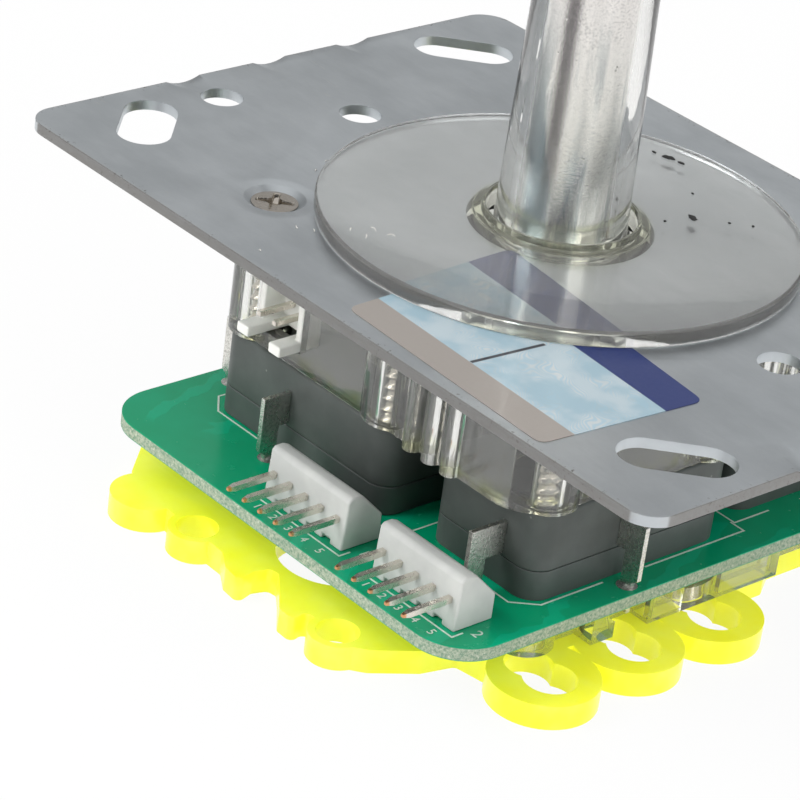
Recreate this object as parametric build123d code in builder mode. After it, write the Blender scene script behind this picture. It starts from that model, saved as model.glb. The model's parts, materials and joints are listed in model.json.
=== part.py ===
"""Arcade joystick lever with a clear housing, four microswitches and a restrictor gate.

All sizes are in millimetres. X runs along the mounting plate, Z runs up the shaft, and
the origin is the middle of the gate's underside.
"""

import os
from math import cos, radians, sin, tan

from build123d import *

# Driving dimensions: stack of plates, bottom to top
GATE_T = 2.8
FRAME_T = 4.9
BOARD_T = 1.6
SWITCH_T = 10.3
BODY_H = 14.2
PLATE_T = 1.2

# Driving dimensions: mounting plate
PLATE_L = 98.5
PLATE_W = 69.0
PLATE_CORNER = 3.5
PLATE_BORE_R = 10.0
SLOT_INSET_X = 7.75
SLOT_INSET_Y = 11.2
SLOT_L = 11.8
SLOT_W = 6.0
ROUND_HOLE_R = 2.4
ROUND_HOLE_INSET = 16.45
SIDE_HOLE_INSET = 6.05
SIDE_HOLE_Y = 11.6
DENT_PITCH = 12.5
DENT_L = 5.0
DENT_DEPTH = 0.5

# Driving dimensions: microswitch
SWITCH_L = 27.8
SWITCH_W = 15.9
SWITCH_OUT = 25.4
SWITCH_CORNER = 2.6
PLUNGER_TO_END = 22.9
MOUNT_HOLE_INSET = 2.8
MOUNT_HOLE_PITCH = 22.2
MOUNT_HOLE_R = 1.6
SEAM_H = 3.4
CASE_FILLET = 0.4
PLUNGER_L = 3.8
PLUNGER_W = 3.0
PLUNGER_T = 1.9
PLUNGER_TRAVEL = 1.5
TAB_T = 0.6
TAB_H = 7.6
TAB_LEG = 1.6
TAB_SHOULDER = 0.8
COM_TAB_INSET = 11.0
COM_TAB_OUT = 4.8
NO_TAB_Y = -11.0
NO_TAB_OUT = 3.7

# Driving dimensions: lever
TILT_DEG = 5.5
PIVOT_DROP = 5.5
SHAFT_R = 4.75
NECK_R = 3.0
COVER_R = 7.15
COVER_TOP_R = 6.2
COVER_H = 41.0
COVER_BORE_R = 4.9
BALL_R = 17.5
BALL_H = 60.0
SHAFT_FOOT_Z = 0.7
PIVOT_R = 7.2
PIVOT_UP = 2.0
PIVOT_DOWN = 4.7
COLLAR_R = 6.4
TRUNNION_R = 1.8
PIN_R = 1.25

# Driving dimensions: dust washer
WASHER_R = 26.2
WASHER_T = 1.3
WASHER_BORE_R = 8.3
LIP_R = 9.5
LIP_H = 2.0

# Driving dimensions: boards
BOARD_HALF_X = 29.2
BOARD_FRONT_Y = 36.3
BOARD_REAR_Y = 29.2
BOARD_CORNER = 6.0
BOARD_BORE_R = 9.0
PIN_PITCH = 2.54
PIN_COUNT = 5
HEADER_X = (1.5, 19.0)
HEADER_INSET = 3.2
HEADER_DEPTH = 5.3
HEADER_H = 6.1
HEADER_PIN_Z = 3.3
HEADER_PIN_OUT = 6.2
HEADER_PIN_W = 0.64
HEADER_TOP = 1.8
HEADER_LEAN = 0.4
HEADER_NOTCH = 0.6

# Driving dimensions: housing, frame and gate
BODY_HALF = 25.2
BODY_CORNER = 5.0
POST_WALL = 1.9
WALL = 1.8
DECK_T = 2.0
HUB_R = 13.5
FLUTE_R = 1.1
FLUTE_PITCH = 2.9
FLUTE_MID_X = 11.0
SILL_H = 1.9
LIGHT_HEADER_X = -14.2
LIGHT_HEADER_W = 7.2
LIGHT_HEADER_DEPTH = 3.8
LIGHT_HEADER_WALL = 0.9
LIGHT_ARM_L = 2.8
LIGHT_ARM_W = 1.9
LIGHT_ARM_T = 1.2
LIGHT_PIN_UP = 1.7
SEAT_R = 11.0
SEAT_LIP = 0.4
SEAT_BORE_R = 7.5
SPRING_R = 6.8
SPRING_WIRE_R = 0.5
SPRING_TURNS = 4.5
ACTUATOR_R = 7.4
ACTUATOR_TIP_R = 5.0
FRAME_HALF = 24.5
FRAME_CORNER = 4.0
FRAME_SIDE_X = 27.1
FRAME_BOSS_R = 3.4
FRAME_SIDE_LOW = -6.3
FRAME_SIDE_HIGH = 13.3
FRAME_SIDE_T = 1.2
FRAME_LUG_Y = -12.9
FRAME_LUG_L = 3.2
GATE_HALF_X = 26.2
GATE_END_Y = 36.6
GATE_LOOP_R = 6.0
GATE_LOOP_X = 28.6
GATE_LOOP_PITCH = 11.9
GATE_LOOP_FIRST_Y = -22.4
GATE_LOOPS = 3
LOOP_HOLE_R = 2.9
LOOP_NECK_R = 2.6
LOOP_HOLE_OUT = 0.9
LOOP_NECK_IN = 2.3
LOBE_R = 4.0
GATE_EYE_R = 6.35
GATE_EYE_Y = 26.3
GATE_TAB_X = 11.7
GATE_TAB_Y = 35.7
GATE_TAB_HOLE_R = 2.3
GATE_TAB_WALL = 0.9
GATE_CORNER = 4.0
GATE_FILLET = 0.7
SCREW_R = 1.45
SCREW_HEAD_R = 3.05
PAN_HEAD_R = 2.7
PAN_HEAD_T = 1.8

# Fits
RUN_FIT = 0.05
SLIDE_FIT = 0.2
FREE_GAP = 0.3

# Levels worked out from the stack
FRAME_Z = GATE_T
BOARD_Z = FRAME_Z + FRAME_T
HEADER_FRONT_Y = BOARD_FRONT_Y - HEADER_INSET
SWITCH_Z = BOARD_Z + BOARD_T
BODY_Z = SWITCH_Z + SWITCH_T
PLATE_Z = BODY_Z + BODY_H
TOP_Z = PLATE_Z + PLATE_T
PIVOT_Z = TOP_Z - PIVOT_DROP
PLUNGER_Z = SWITCH_Z + SWITCH_T / 2
SLOT_X = PLATE_L / 2 - SLOT_INSET_X
SLOT_Y = PLATE_W / 2 - SLOT_INSET_Y
ROUND_HOLE_X = PLATE_L / 2 - ROUND_HOLE_INSET
SIDE_HOLE_X = PLATE_L / 2 - SIDE_HOLE_INSET
SWITCH_IN = SWITCH_OUT - SWITCH_W
HOLE_X = SWITCH_OUT - MOUNT_HOLE_INSET
HOLE_Y = MOUNT_HOLE_INSET - PLUNGER_TO_END
TILT = radians(TILT_DEG)

SIDES = {"right": 0, "rear": 90, "left": 180, "front": 270}

os.makedirs("parts", exist_ok=True)


def level(z, turn=0.0):
    """Return the horizontal plane at height z, turned about the shaft axis."""
    return Plane(
        origin=(0, 0, z),
        x_dir=(cos(radians(turn)), sin(radians(turn)), 0),
        z_dir=(0, 0, 1),
    )


def around(x, y):
    """Return the point x, y and its three copies turned by quarter turns."""
    spots = []
    for turn in SIDES.values():
        c = round(cos(radians(turn)))
        s = round(sin(radians(turn)))
        spots.append((c * x - s * y, s * x + c * y))
    return spots


def save(part, name):
    """Label a solid and write it as its own file."""
    part.label = name
    export_step(part, f"parts/{name}.step")


OUTER_SPOTS = around(HOLE_X, HOLE_Y)
INNER_SPOTS = around(HOLE_X, HOLE_Y + MOUNT_HOLE_PITCH)


def build_mounting_plate():
    """Pressed steel plate with slanted slots, round holes, dents and countersinks."""
    sink_r = SCREW_HEAD_R + 0.3
    corner_slots = ((1, 1, -45), (-1, 1, 45), (-1, -1, -45), (1, -1, 45))
    with BuildPart() as plate:
        with BuildSketch(level(PLATE_Z)):
            RectangleRounded(PLATE_L, PLATE_W, PLATE_CORNER)
            Circle(PLATE_BORE_R, mode=Mode.SUBTRACT)
            for sx, sy, slant in corner_slots:
                with Locations(Location((sx * SLOT_X, sy * SLOT_Y), slant)):
                    SlotOverall(SLOT_L, SLOT_W, mode=Mode.SUBTRACT)
            with Locations((ROUND_HOLE_X, 0), (-ROUND_HOLE_X, 0)):
                Circle(ROUND_HOLE_R, mode=Mode.SUBTRACT)
            with Locations((SIDE_HOLE_X, SIDE_HOLE_Y), (-SIDE_HOLE_X, -SIDE_HOLE_Y)):
                Circle(ROUND_HOLE_R, mode=Mode.SUBTRACT)
        extrude(amount=PLATE_T)
        with Locations(*[(x, y, TOP_Z - PLATE_T / 2) for x, y in OUTER_SPOTS]):
            Cone(MOUNT_HOLE_R, sink_r, PLATE_T, mode=Mode.SUBTRACT)
        dent_r = 6.0
        for side in (-1, 1):
            for step in (-1, 0, 1):
                spot = (
                    side * (PLATE_L - DENT_L) / 2,
                    step * DENT_PITCH,
                    TOP_Z + dent_r - DENT_DEPTH,
                )
                with Locations(Location(spot, (0, 90 * side, 0))):
                    Cone(dent_r - DENT_DEPTH, dent_r, DENT_L, mode=Mode.SUBTRACT)
    save(plate.part, "mounting_plate")


def build_plate_screws():
    """Four long countersunk screws through housing, switches and board."""
    head_t = PLATE_T - 0.1
    cross_w = 0.7
    with BuildPart() as screws:
        for x, y in OUTER_SPOTS:
            with BuildSketch(level(FRAME_Z + 1.0)):
                with Locations((x, y)):
                    Circle(SCREW_R)
            extrude(amount=PLATE_Z - FRAME_Z - 1.0)
            with Locations((x, y, PLATE_Z + head_t / 2)):
                Cone(SCREW_R, SCREW_HEAD_R, head_t)
            with BuildSketch(level(TOP_Z)):
                with Locations((x, y)):
                    Rectangle(2 * SCREW_R + 0.6, cross_w)
                    Rectangle(cross_w, 2 * SCREW_R + 0.6)
            extrude(amount=-0.8, mode=Mode.SUBTRACT)
    save(screws.part, "plate_screws")


def build_dust_washer():
    """Clear round cover lying on the plate, with a stepped lip round its hole."""
    rim = 0.9
    with BuildPart() as washer:
        with BuildSketch(Plane.XZ):
            with BuildLine():
                Polyline(
                    (WASHER_R - rim, TOP_Z + WASHER_T),
                    (LIP_R + 0.5, TOP_Z + WASHER_T),
                    (LIP_R, TOP_Z + WASHER_T + 0.3),
                    (LIP_R - 0.6, TOP_Z + LIP_H),
                    (WASHER_BORE_R, TOP_Z + LIP_H),
                    (WASHER_BORE_R, TOP_Z),
                    (WASHER_R, TOP_Z),
                    (WASHER_R, TOP_Z + WASHER_T - rim),
                )
                RadiusArc(
                    (WASHER_R - rim, TOP_Z + WASHER_T),
                    (WASHER_R, TOP_Z + WASHER_T - rim),
                    rim,
                )
            make_face()
        revolve(axis=Axis.Z)
    save(washer.part, "dust_washer")


def build_lever():
    """Shaft, shaft cover, ball top, cross pin and the retaining clip."""
    collar_z = PIVOT_Z + PIVOT_UP + 1.0
    collar_t = 0.8
    cover_z = collar_z + collar_t
    ball_z = TOP_Z + BALL_H
    stud_r = 3.0
    shoulder_z = TOP_Z + COVER_H + 1.5
    with BuildPart() as shaft:
        with BuildSketch(Plane.XZ):
            with BuildLine():
                Polyline(
                    (0, SHAFT_FOOT_Z),
                    (NECK_R - 0.4, SHAFT_FOOT_Z),
                    (NECK_R, SHAFT_FOOT_Z + 0.4),
                    (NECK_R, SHAFT_FOOT_Z + 0.9),
                    (NECK_R - 0.5, SHAFT_FOOT_Z + 0.9),
                    (NECK_R - 0.5, SHAFT_FOOT_Z + 1.7),
                    (NECK_R, SHAFT_FOOT_Z + 1.7),
                    (NECK_R, collar_z),
                    (COLLAR_R, collar_z),
                    (COLLAR_R, cover_z),
                    (SHAFT_R, cover_z),
                    (SHAFT_R, shoulder_z),
                    (stud_r, shoulder_z),
                    (stud_r, ball_z),
                    (0, ball_z),
                    close=True,
                )
            make_face()
        revolve(axis=Axis.Z)
        with Locations(Location((0, 0, PIVOT_Z), (90, 0, 0))):
            Cylinder(PIN_R, 4 * NECK_R, mode=Mode.SUBTRACT)
    save(shaft.part, "shaft")

    with BuildPart() as cover:
        with BuildSketch(Plane.XZ):
            with BuildLine():
                Polyline(
                    (COVER_BORE_R, cover_z),
                    (COVER_R, cover_z),
                    (COVER_R, TOP_Z + LIP_H),
                    (COVER_TOP_R, TOP_Z + COVER_H - 0.6),
                    (COVER_TOP_R - 0.6, TOP_Z + COVER_H),
                    (COVER_BORE_R, TOP_Z + COVER_H),
                    close=True,
                )
            make_face()
        revolve(axis=Axis.Z)
    save(cover.part, "shaft_cover")

    with BuildPart() as ball:
        with Locations((0, 0, ball_z)):
            Sphere(BALL_R)
        with BuildSketch(level(ball_z - BALL_R)):
            Circle(stud_r)
        extrude(amount=BALL_R, mode=Mode.SUBTRACT)
        split(bisect_by=level(shoulder_z), keep=Keep.TOP)
    save(ball.part, "ball_top")

    pin_half = PIVOT_R - 0.6
    with BuildPart() as pin:
        with Locations(Location((0, 0, PIVOT_Z), (90, 0, 0))):
            Cylinder(PIN_R, 2 * pin_half)
    save(pin.part, "cross_pin")

    clip_z = SHAFT_FOOT_Z + 0.9
    clip_r = NECK_R + 1.6
    with BuildPart() as clip:
        with BuildSketch(level(clip_z)):
            Circle(clip_r)
            Circle(NECK_R - 0.5, mode=Mode.SUBTRACT)
            with Locations((clip_r / 2 + 1, 0)):
                Rectangle(clip_r, 2 * (NECK_R - 1.0), mode=Mode.SUBTRACT)
        extrude(amount=0.8)
    save(clip.part, "retaining_clip")


def build_actuator():
    """Stepped collar on the shaft that presses the switch plungers."""
    top_z = PLUNGER_Z + 2.75
    step_z = PLUNGER_Z - 3.55
    foot_z = SHAFT_FOOT_Z + 1.7
    with BuildPart() as actuator:
        with BuildSketch(Plane.XZ):
            with BuildLine():
                Polyline(
                    (NECK_R, foot_z),
                    (ACTUATOR_TIP_R - 0.5, foot_z),
                    (ACTUATOR_TIP_R, foot_z + 0.5),
                    (ACTUATOR_TIP_R, step_z),
                    (ACTUATOR_R - 0.5, step_z),
                    (ACTUATOR_R, step_z + 0.5),
                    (ACTUATOR_R, top_z),
                    (NECK_R, top_z),
                    close=True,
                )
            make_face()
        revolve(axis=Axis.Z)
    save(actuator.part, "actuator")
    return top_z


def build_pivot():
    """Rocking ball with its trunnions, and the ring seat that carries them."""
    trunnion_end = SEAT_R - 0.6
    slot_half = NECK_R + FREE_GAP + PIVOT_DOWN * tan(TILT) + 0.1
    with BuildPart() as rocker:
        with Locations((0, 0, PIVOT_Z)):
            Sphere(PIVOT_R)
        with Locations(Location((0, 0, PIVOT_Z), (0, 90, 0))):
            Cylinder(TRUNNION_R, 2 * trunnion_end)
        with BuildSketch(level(PIVOT_Z + PIVOT_UP)):
            Rectangle(4 * PIVOT_R, 4 * PIVOT_R)
        extrude(amount=PIVOT_R, mode=Mode.SUBTRACT)
        with BuildSketch(level(PIVOT_Z - PIVOT_DOWN)):
            Rectangle(4 * PIVOT_R, 4 * PIVOT_R)
        extrude(amount=-PIVOT_R, mode=Mode.SUBTRACT)
        with BuildSketch(level(PIVOT_Z - PIVOT_R)):
            SlotOverall(2 * slot_half, 2 * (NECK_R + FREE_GAP))
        extrude(amount=2 * PIVOT_R, mode=Mode.SUBTRACT)
        with Locations(Location((0, 0, PIVOT_Z), (90, 0, 0))):
            Cylinder(PIN_R + RUN_FIT, 3 * PIVOT_R, mode=Mode.SUBTRACT)
    save(rocker.part, "pivot_rocker")

    seat_foot = PIVOT_Z - PIVOT_DOWN - FREE_GAP
    seat_top = PIVOT_Z + PIVOT_UP + SEAT_LIP
    notch_r = TRUNNION_R + RUN_FIT
    with BuildPart() as seat:
        with BuildSketch(level(seat_foot)):
            Circle(SEAT_R)
        extrude(amount=seat_top - seat_foot)
        with Locations((0, 0, PIVOT_Z)):
            Sphere(SEAT_BORE_R, mode=Mode.SUBTRACT)
        with BuildSketch(level(PIVOT_Z)):
            Circle(SEAT_BORE_R)
        extrude(amount=PIVOT_R, mode=Mode.SUBTRACT)
        with Locations(Location((0, 0, PIVOT_Z), (0, 90, 0))):
            Cylinder(notch_r, 3 * SEAT_R, mode=Mode.SUBTRACT)
        with BuildSketch(level(PIVOT_Z)):
            Rectangle(3 * SEAT_R, 2 * notch_r)
        extrude(amount=PIVOT_R, mode=Mode.SUBTRACT)
    save(seat.part, "pivot_seat")
    return seat_foot


def build_spring(foot_z, head_z):
    """Return spring between the actuator and the pivot seat."""
    pitch = (head_z - foot_z - 2 * SPRING_WIRE_R) / SPRING_TURNS
    start = (SPRING_R, 0, foot_z + SPRING_WIRE_R)
    with BuildPart() as spring:
        with BuildLine() as coil:
            Helix(pitch, head_z - foot_z - 2 * SPRING_WIRE_R, SPRING_R, center=(0, 0, start[2]))
        with BuildSketch(Plane(origin=start, z_dir=(0, 1, 0))):
            RegularPolygon(SPRING_WIRE_R, 8)
        sweep(path=coil.wires()[0], is_frenet=True)
    save(spring.part, "return_spring")


def build_clear_housing(seat_foot):
    """Clear moulded housing: deck, skirt, hub, screw posts and ribs."""
    post_r = MOUNT_HOLE_R + POST_WALL
    window_w = LIGHT_HEADER_W + SLIDE_FIT
    window_depth = LIGHT_HEADER_DEPTH + 1.0
    deck_z = PLATE_Z - DECK_T
    flutes = [spot for step in (-1, 0, 1) for spot in around(FLUTE_MID_X + step * FLUTE_PITCH, -BODY_HALF)]
    spots = OUTER_SPOTS + INNER_SPOTS
    inner = 2 * (BODY_HALF - WALL)
    with BuildPart() as body:
        with BuildSketch(level(BODY_Z)):
            RectangleRounded(2 * BODY_HALF, 2 * BODY_HALF, BODY_CORNER)
            RectangleRounded(inner, inner, BODY_CORNER - WALL, mode=Mode.SUBTRACT)
            with Locations(*spots):
                Circle(post_r)
            with Locations(*flutes):
                Circle(FLUTE_R)
            Circle(HUB_R)
            for turn in (45, 135):
                with Locations(Location((0, 0), turn)):
                    Rectangle(2 * (BODY_HALF + 2 * WALL), WALL)
        extrude(amount=BODY_H - DECK_T)
        with BuildSketch(level(deck_z)):
            RectangleRounded(2 * BODY_HALF, 2 * BODY_HALF, BODY_CORNER)
            with Locations(*spots):
                Circle(post_r)
        extrude(amount=DECK_T)
        with BuildSketch(level(BODY_Z)):
            Circle(SEAT_R - 2.0)
        extrude(amount=BODY_H, mode=Mode.SUBTRACT)
        with BuildSketch(level(seat_foot)):
            Circle(SEAT_R)
        extrude(amount=PLATE_Z - seat_foot, mode=Mode.SUBTRACT)
        with BuildSketch(level(BODY_Z)):
            with Locations(*spots):
                Circle(MOUNT_HOLE_R)
        extrude(amount=BODY_H, mode=Mode.SUBTRACT)
        with BuildSketch(level(BODY_Z + SILL_H)):
            with Locations((LIGHT_HEADER_X, -BODY_HALF)):
                Rectangle(window_w, 2 * window_depth)
        extrude(amount=deck_z - BODY_Z - SILL_H, mode=Mode.SUBTRACT)
    save(body.part, "clear_housing")


def build_switch(name, turn):
    """One lever-less microswitch: case, cover, plunger and solder tabs."""
    mid_y = SWITCH_L / 2 - PLUNGER_TO_END
    mid_x = SWITCH_OUT - SWITCH_W / 2
    holes = ((HOLE_X, HOLE_Y), (HOLE_X, HOLE_Y + MOUNT_HOLE_PITCH))
    slot_l = PLUNGER_L + PLUNGER_TRAVEL + SLIDE_FIT
    tip_x = ACTUATOR_R + FREE_GAP
    guide_l = tip_x + slot_l - SWITCH_IN

    def outline():
        """Draw the switch's rounded outline with its two mounting holes."""
        with Locations((mid_x, mid_y)):
            RectangleRounded(SWITCH_W, SWITCH_L, SWITCH_CORNER)
        with Locations(*holes):
            Circle(MOUNT_HOLE_R, mode=Mode.SUBTRACT)

    with BuildPart() as cover:
        with BuildSketch(level(SWITCH_Z, turn)):
            outline()
        extrude(amount=SEAM_H)
    save(cover.part, f"switch_{name}_cover")

    with BuildPart() as case:
        with BuildSketch(level(SWITCH_Z + SEAM_H, turn)):
            outline()
        extrude(amount=SWITCH_T - SEAM_H)
        with BuildSketch(level(PLUNGER_Z - PLUNGER_T / 2 - SLIDE_FIT, turn)):
            with Locations((SWITCH_IN + guide_l / 2, 0)):
                Rectangle(guide_l, PLUNGER_W + 2 * SLIDE_FIT)
        extrude(amount=PLUNGER_T + 2 * SLIDE_FIT, mode=Mode.SUBTRACT)
        rim = case.faces().sort_by(Axis.Z)[-1].outer_wire().edges()
        fillet(rim, CASE_FILLET)
    save(case.part, f"switch_{name}_case")

    with BuildPart() as plunger:
        with BuildSketch(level(PLUNGER_Z - PLUNGER_T / 2, turn)):
            with Locations((tip_x + PLUNGER_L / 2, 0)):
                RectangleRounded(PLUNGER_L, PLUNGER_W, 0.6)
        extrude(amount=PLUNGER_T)
    save(plunger.part, f"switch_{name}_plunger")

    with BuildPart() as tabs:
        for upright, reach in tab_planes(turn):
            with BuildSketch(upright):
                with BuildLine():
                    Polyline(*tab_outline(reach), close=True)
                make_face()
            extrude(amount=TAB_T / 2, both=True)
    save(tabs.part, f"switch_{name}_tabs")


def tab_planes(turn):
    """A switch's two upright tabs: plane, x outwards and y up, and how far it reaches."""
    swing = radians(turn)
    com = (SWITCH_IN + COM_TAB_INSET, -PLUNGER_TO_END, -90, COM_TAB_OUT)
    no = (SWITCH_OUT, NO_TAB_Y, 0, NO_TAB_OUT)
    planes = []
    for x, y, away, reach in (com, no):
        spot = (x * cos(swing) - y * sin(swing), x * sin(swing) + y * cos(swing), SWITCH_Z)
        out = swing + radians(away)
        plane = Plane(origin=spot, x_dir=(cos(out), sin(out), 0), z_dir=(sin(out), -cos(out), 0))
        planes.append((plane, reach))
    return planes


def tab_outline(reach):
    """Corner points of one tab: a wide blade that narrows to its board leg."""
    root = SEAM_H + 0.4
    outer = reach - TAB_SHOULDER
    foot = -(BOARD_T + 1.4)
    return (
        (0, root),
        (0, TAB_H),
        (reach, TAB_H),
        (reach, 1.2),
        (outer, 0.6),
        (outer, foot),
        (outer - TAB_LEG, foot),
        (outer - TAB_LEG, root),
    )


def leg_spots():
    """Middle of each tab leg on the board, with the turn of its blade."""
    spots = []
    for turn in SIDES.values():
        for plane, reach in tab_planes(turn):
            leg = reach - TAB_SHOULDER - TAB_LEG / 2
            spot = plane.from_local_coords(Vector(leg, 0, 0))
            angle = Vector(1, 0, 0).get_signed_angle(plane.x_dir, Vector(0, 0, 1))
            spots.append(Location((spot.X, spot.Y), angle))
    return spots


def build_boards():
    """Main board with its holes, and the small light board in the housing."""
    depth = BOARD_FRONT_Y + BOARD_REAR_Y
    with BuildPart() as board:
        with BuildSketch(level(BOARD_Z)):
            with Locations((0, (BOARD_REAR_Y - BOARD_FRONT_Y) / 2)):
                RectangleRounded(2 * BOARD_HALF_X, depth, BOARD_CORNER)
            Circle(BOARD_BORE_R, mode=Mode.SUBTRACT)
            with Locations(*(OUTER_SPOTS + INNER_SPOTS)):
                Circle(MOUNT_HOLE_R, mode=Mode.SUBTRACT)
            with Locations(*leg_spots()):
                Rectangle(TAB_LEG + 0.1, TAB_T + 0.1, mode=Mode.SUBTRACT)
        extrude(amount=BOARD_T)
    save(board.part, "main_board")


def build_header(index, mid_x):
    """One right-angle board header: block and its five pins."""
    front = -HEADER_FRONT_Y
    back = front + HEADER_DEPTH
    half = PIN_PITCH * PIN_COUNT / 2
    with BuildPart() as block:
        with BuildSketch(Plane(origin=(mid_x - half, 0, SWITCH_Z), x_dir=(0, 1, 0), z_dir=(1, 0, 0))):
            with BuildLine():
                Polyline(
                    (front, 0),
                    (front + HEADER_LEAN, HEADER_H),
                    (front + HEADER_LEAN + HEADER_TOP, HEADER_H),
                    (back, HEADER_H / 2),
                    (back, 0),
                    close=True,
                )
            make_face()
        extrude(amount=2 * half)
        upright = block.edges().filter_by(Axis.X).group_by(Axis.Z)[-1]
        chamfer(upright, HEADER_LEAN)
        for step in range(PIN_COUNT - 1):
            with Locations((mid_x + (step + 1) * PIN_PITCH - half, front, SWITCH_Z)):
                Box(PIN_PITCH / 2, 2 * HEADER_NOTCH, 2 * HEADER_NOTCH, mode=Mode.SUBTRACT)
    save(block.part, f"header_{index}_block")

    first = mid_x - PIN_PITCH * (PIN_COUNT - 1) / 2
    with BuildPart() as pins:
        for step in range(PIN_COUNT):
            x = first + PIN_PITCH * step
            low = SWITCH_Z + HEADER_PIN_Z
            with Locations((x, -HEADER_FRONT_Y - HEADER_PIN_OUT / 2, low)):
                Box(HEADER_PIN_W, HEADER_PIN_OUT, HEADER_PIN_W)
            leg_h = HEADER_H / 2 - 0.8
            with Locations((x, back + HEADER_PIN_W / 2, SWITCH_Z + leg_h / 2)):
                Box(HEADER_PIN_W, HEADER_PIN_W, leg_h)
    save(pins.part, f"header_{index}_pins")


def build_light_header():
    """Small board under the deck with the two-pin right-angle lamp header on it."""
    board_z = PLATE_Z - DECK_T - BOARD_T
    foot_z = BODY_Z + SILL_H + 0.1
    front = -BODY_HALF
    back = front + LIGHT_HEADER_DEPTH
    with BuildPart() as board:
        with BuildSketch(level(board_z)):
            with Locations((LIGHT_HEADER_X, back - LIGHT_HEADER_DEPTH / 2 + 0.4)):
                RectangleRounded(LIGHT_HEADER_W, LIGHT_HEADER_DEPTH + 0.8, 0.6)
        extrude(amount=BOARD_T)
    save(board.part, "light_board")

    arm_x = (LIGHT_HEADER_W - LIGHT_ARM_W) / 2
    arm_l = LIGHT_ARM_L + LIGHT_HEADER_DEPTH
    with BuildPart() as header:
        with BuildSketch(level(foot_z)):
            with Locations((LIGHT_HEADER_X, back - LIGHT_HEADER_DEPTH / 2)):
                Rectangle(LIGHT_HEADER_W, LIGHT_HEADER_DEPTH)
            with Locations((LIGHT_HEADER_X, front)):
                Rectangle(
                    LIGHT_HEADER_W - 2 * LIGHT_HEADER_WALL,
                    2 * (LIGHT_HEADER_DEPTH - LIGHT_HEADER_WALL),
                    mode=Mode.SUBTRACT,
                )
        extrude(amount=board_z - foot_z)
        with BuildSketch(level(foot_z)):
            with Locations((LIGHT_HEADER_X - arm_x, back - arm_l / 2), (LIGHT_HEADER_X + arm_x, back - arm_l / 2)):
                Rectangle(LIGHT_ARM_W, arm_l)
        extrude(amount=LIGHT_ARM_T)
    save(header.part, "light_header")

    pin_l = LIGHT_HEADER_DEPTH - LIGHT_HEADER_WALL + 0.7 * LIGHT_ARM_L
    pin_z = foot_z + LIGHT_ARM_T + LIGHT_PIN_UP
    with BuildPart() as pins:
        for side in (-1, 1):
            spot = (LIGHT_HEADER_X + side * PIN_PITCH / 2, back - LIGHT_HEADER_WALL - pin_l / 2, pin_z)
            with Locations(spot):
                Box(HEADER_PIN_W, pin_l, HEADER_PIN_W)
    save(pins.part, "light_header_pins")


def build_lower_frame():
    """Clear ribbed frame under the board, with side walls, lugs and screw bosses."""
    half = FRAME_HALF
    bore_r = BOARD_BORE_R + 0.5
    pocket = FRAME_SIDE_X - half
    mid_x = (FRAME_SIDE_X + half - WALL) / 2
    long_rib = pocket + WALL
    boss_y = HOLE_Y + MOUNT_HOLE_PITCH
    with BuildPart() as frame:
        with BuildSketch(level(FRAME_Z)):
            RectangleRounded(2 * half, 2 * half, FRAME_CORNER)
            RectangleRounded(2 * (half - WALL), 2 * (half - WALL), FRAME_CORNER - 1.5, mode=Mode.SUBTRACT)
            for turn in (0, 90):
                with Locations(Location((0, 0), turn)):
                    Rectangle(2 * half - WALL, WALL)
            with Locations(*(OUTER_SPOTS + INNER_SPOTS)):
                Circle(FRAME_BOSS_R)
            Circle(bore_r + WALL)
            for side in (-1, 1):
                side_mid = (FRAME_SIDE_LOW + FRAME_SIDE_HIGH) / 2
                with Locations((side * (FRAME_SIDE_X - FRAME_SIDE_T / 2), side * side_mid)):
                    Rectangle(FRAME_SIDE_T, FRAME_SIDE_HIGH - FRAME_SIDE_LOW)
                with Locations((side * mid_x, side * boss_y)):
                    Rectangle(long_rib, 2 * (FRAME_BOSS_R - 0.6))
                for y in (FRAME_SIDE_LOW + FRAME_SIDE_T / 2, FRAME_SIDE_HIGH - FRAME_SIDE_T / 2):
                    with Locations((side * mid_x, side * y)):
                        Rectangle(long_rib, FRAME_SIDE_T)
                with Locations((side * mid_x, side * FRAME_LUG_Y)):
                    Rectangle(long_rib, FRAME_LUG_L)
            Circle(bore_r, mode=Mode.SUBTRACT)
            with Locations(*OUTER_SPOTS):
                Circle(SCREW_R + 0.05, mode=Mode.SUBTRACT)
            with Locations(*INNER_SPOTS):
                Circle(MOUNT_HOLE_R, mode=Mode.SUBTRACT)
        extrude(amount=FRAME_T)
        with BuildSketch(level(FRAME_Z)):
            with Locations(*INNER_SPOTS):
                Circle(PAN_HEAD_R + 0.2)
        extrude(amount=PAN_HEAD_T, mode=Mode.SUBTRACT)
        clearance = 3.0
        with BuildSketch(level(BOARD_Z)):
            with Locations(*leg_spots()):
                Rectangle(TAB_LEG + 1.2, TAB_T + 1.4)
        extrude(amount=-clearance, mode=Mode.SUBTRACT)
    save(frame.part, "lower_frame")


def build_frame_screws():
    """Four pan-head screws from below, up into the housing's inner posts."""
    shank_top = BODY_Z + 9.0
    with BuildPart() as screws:
        for x, y in INNER_SPOTS:
            with BuildSketch(level(FRAME_Z + PAN_HEAD_T)):
                with Locations((x, y)):
                    Circle(SCREW_R)
            extrude(amount=shank_top - FRAME_Z - PAN_HEAD_T)
            with BuildSketch(level(FRAME_Z)):
                with Locations((x, y)):
                    Circle(PAN_HEAD_R)
            extrude(amount=PAN_HEAD_T)
    save(screws.part, "frame_screws")


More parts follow.
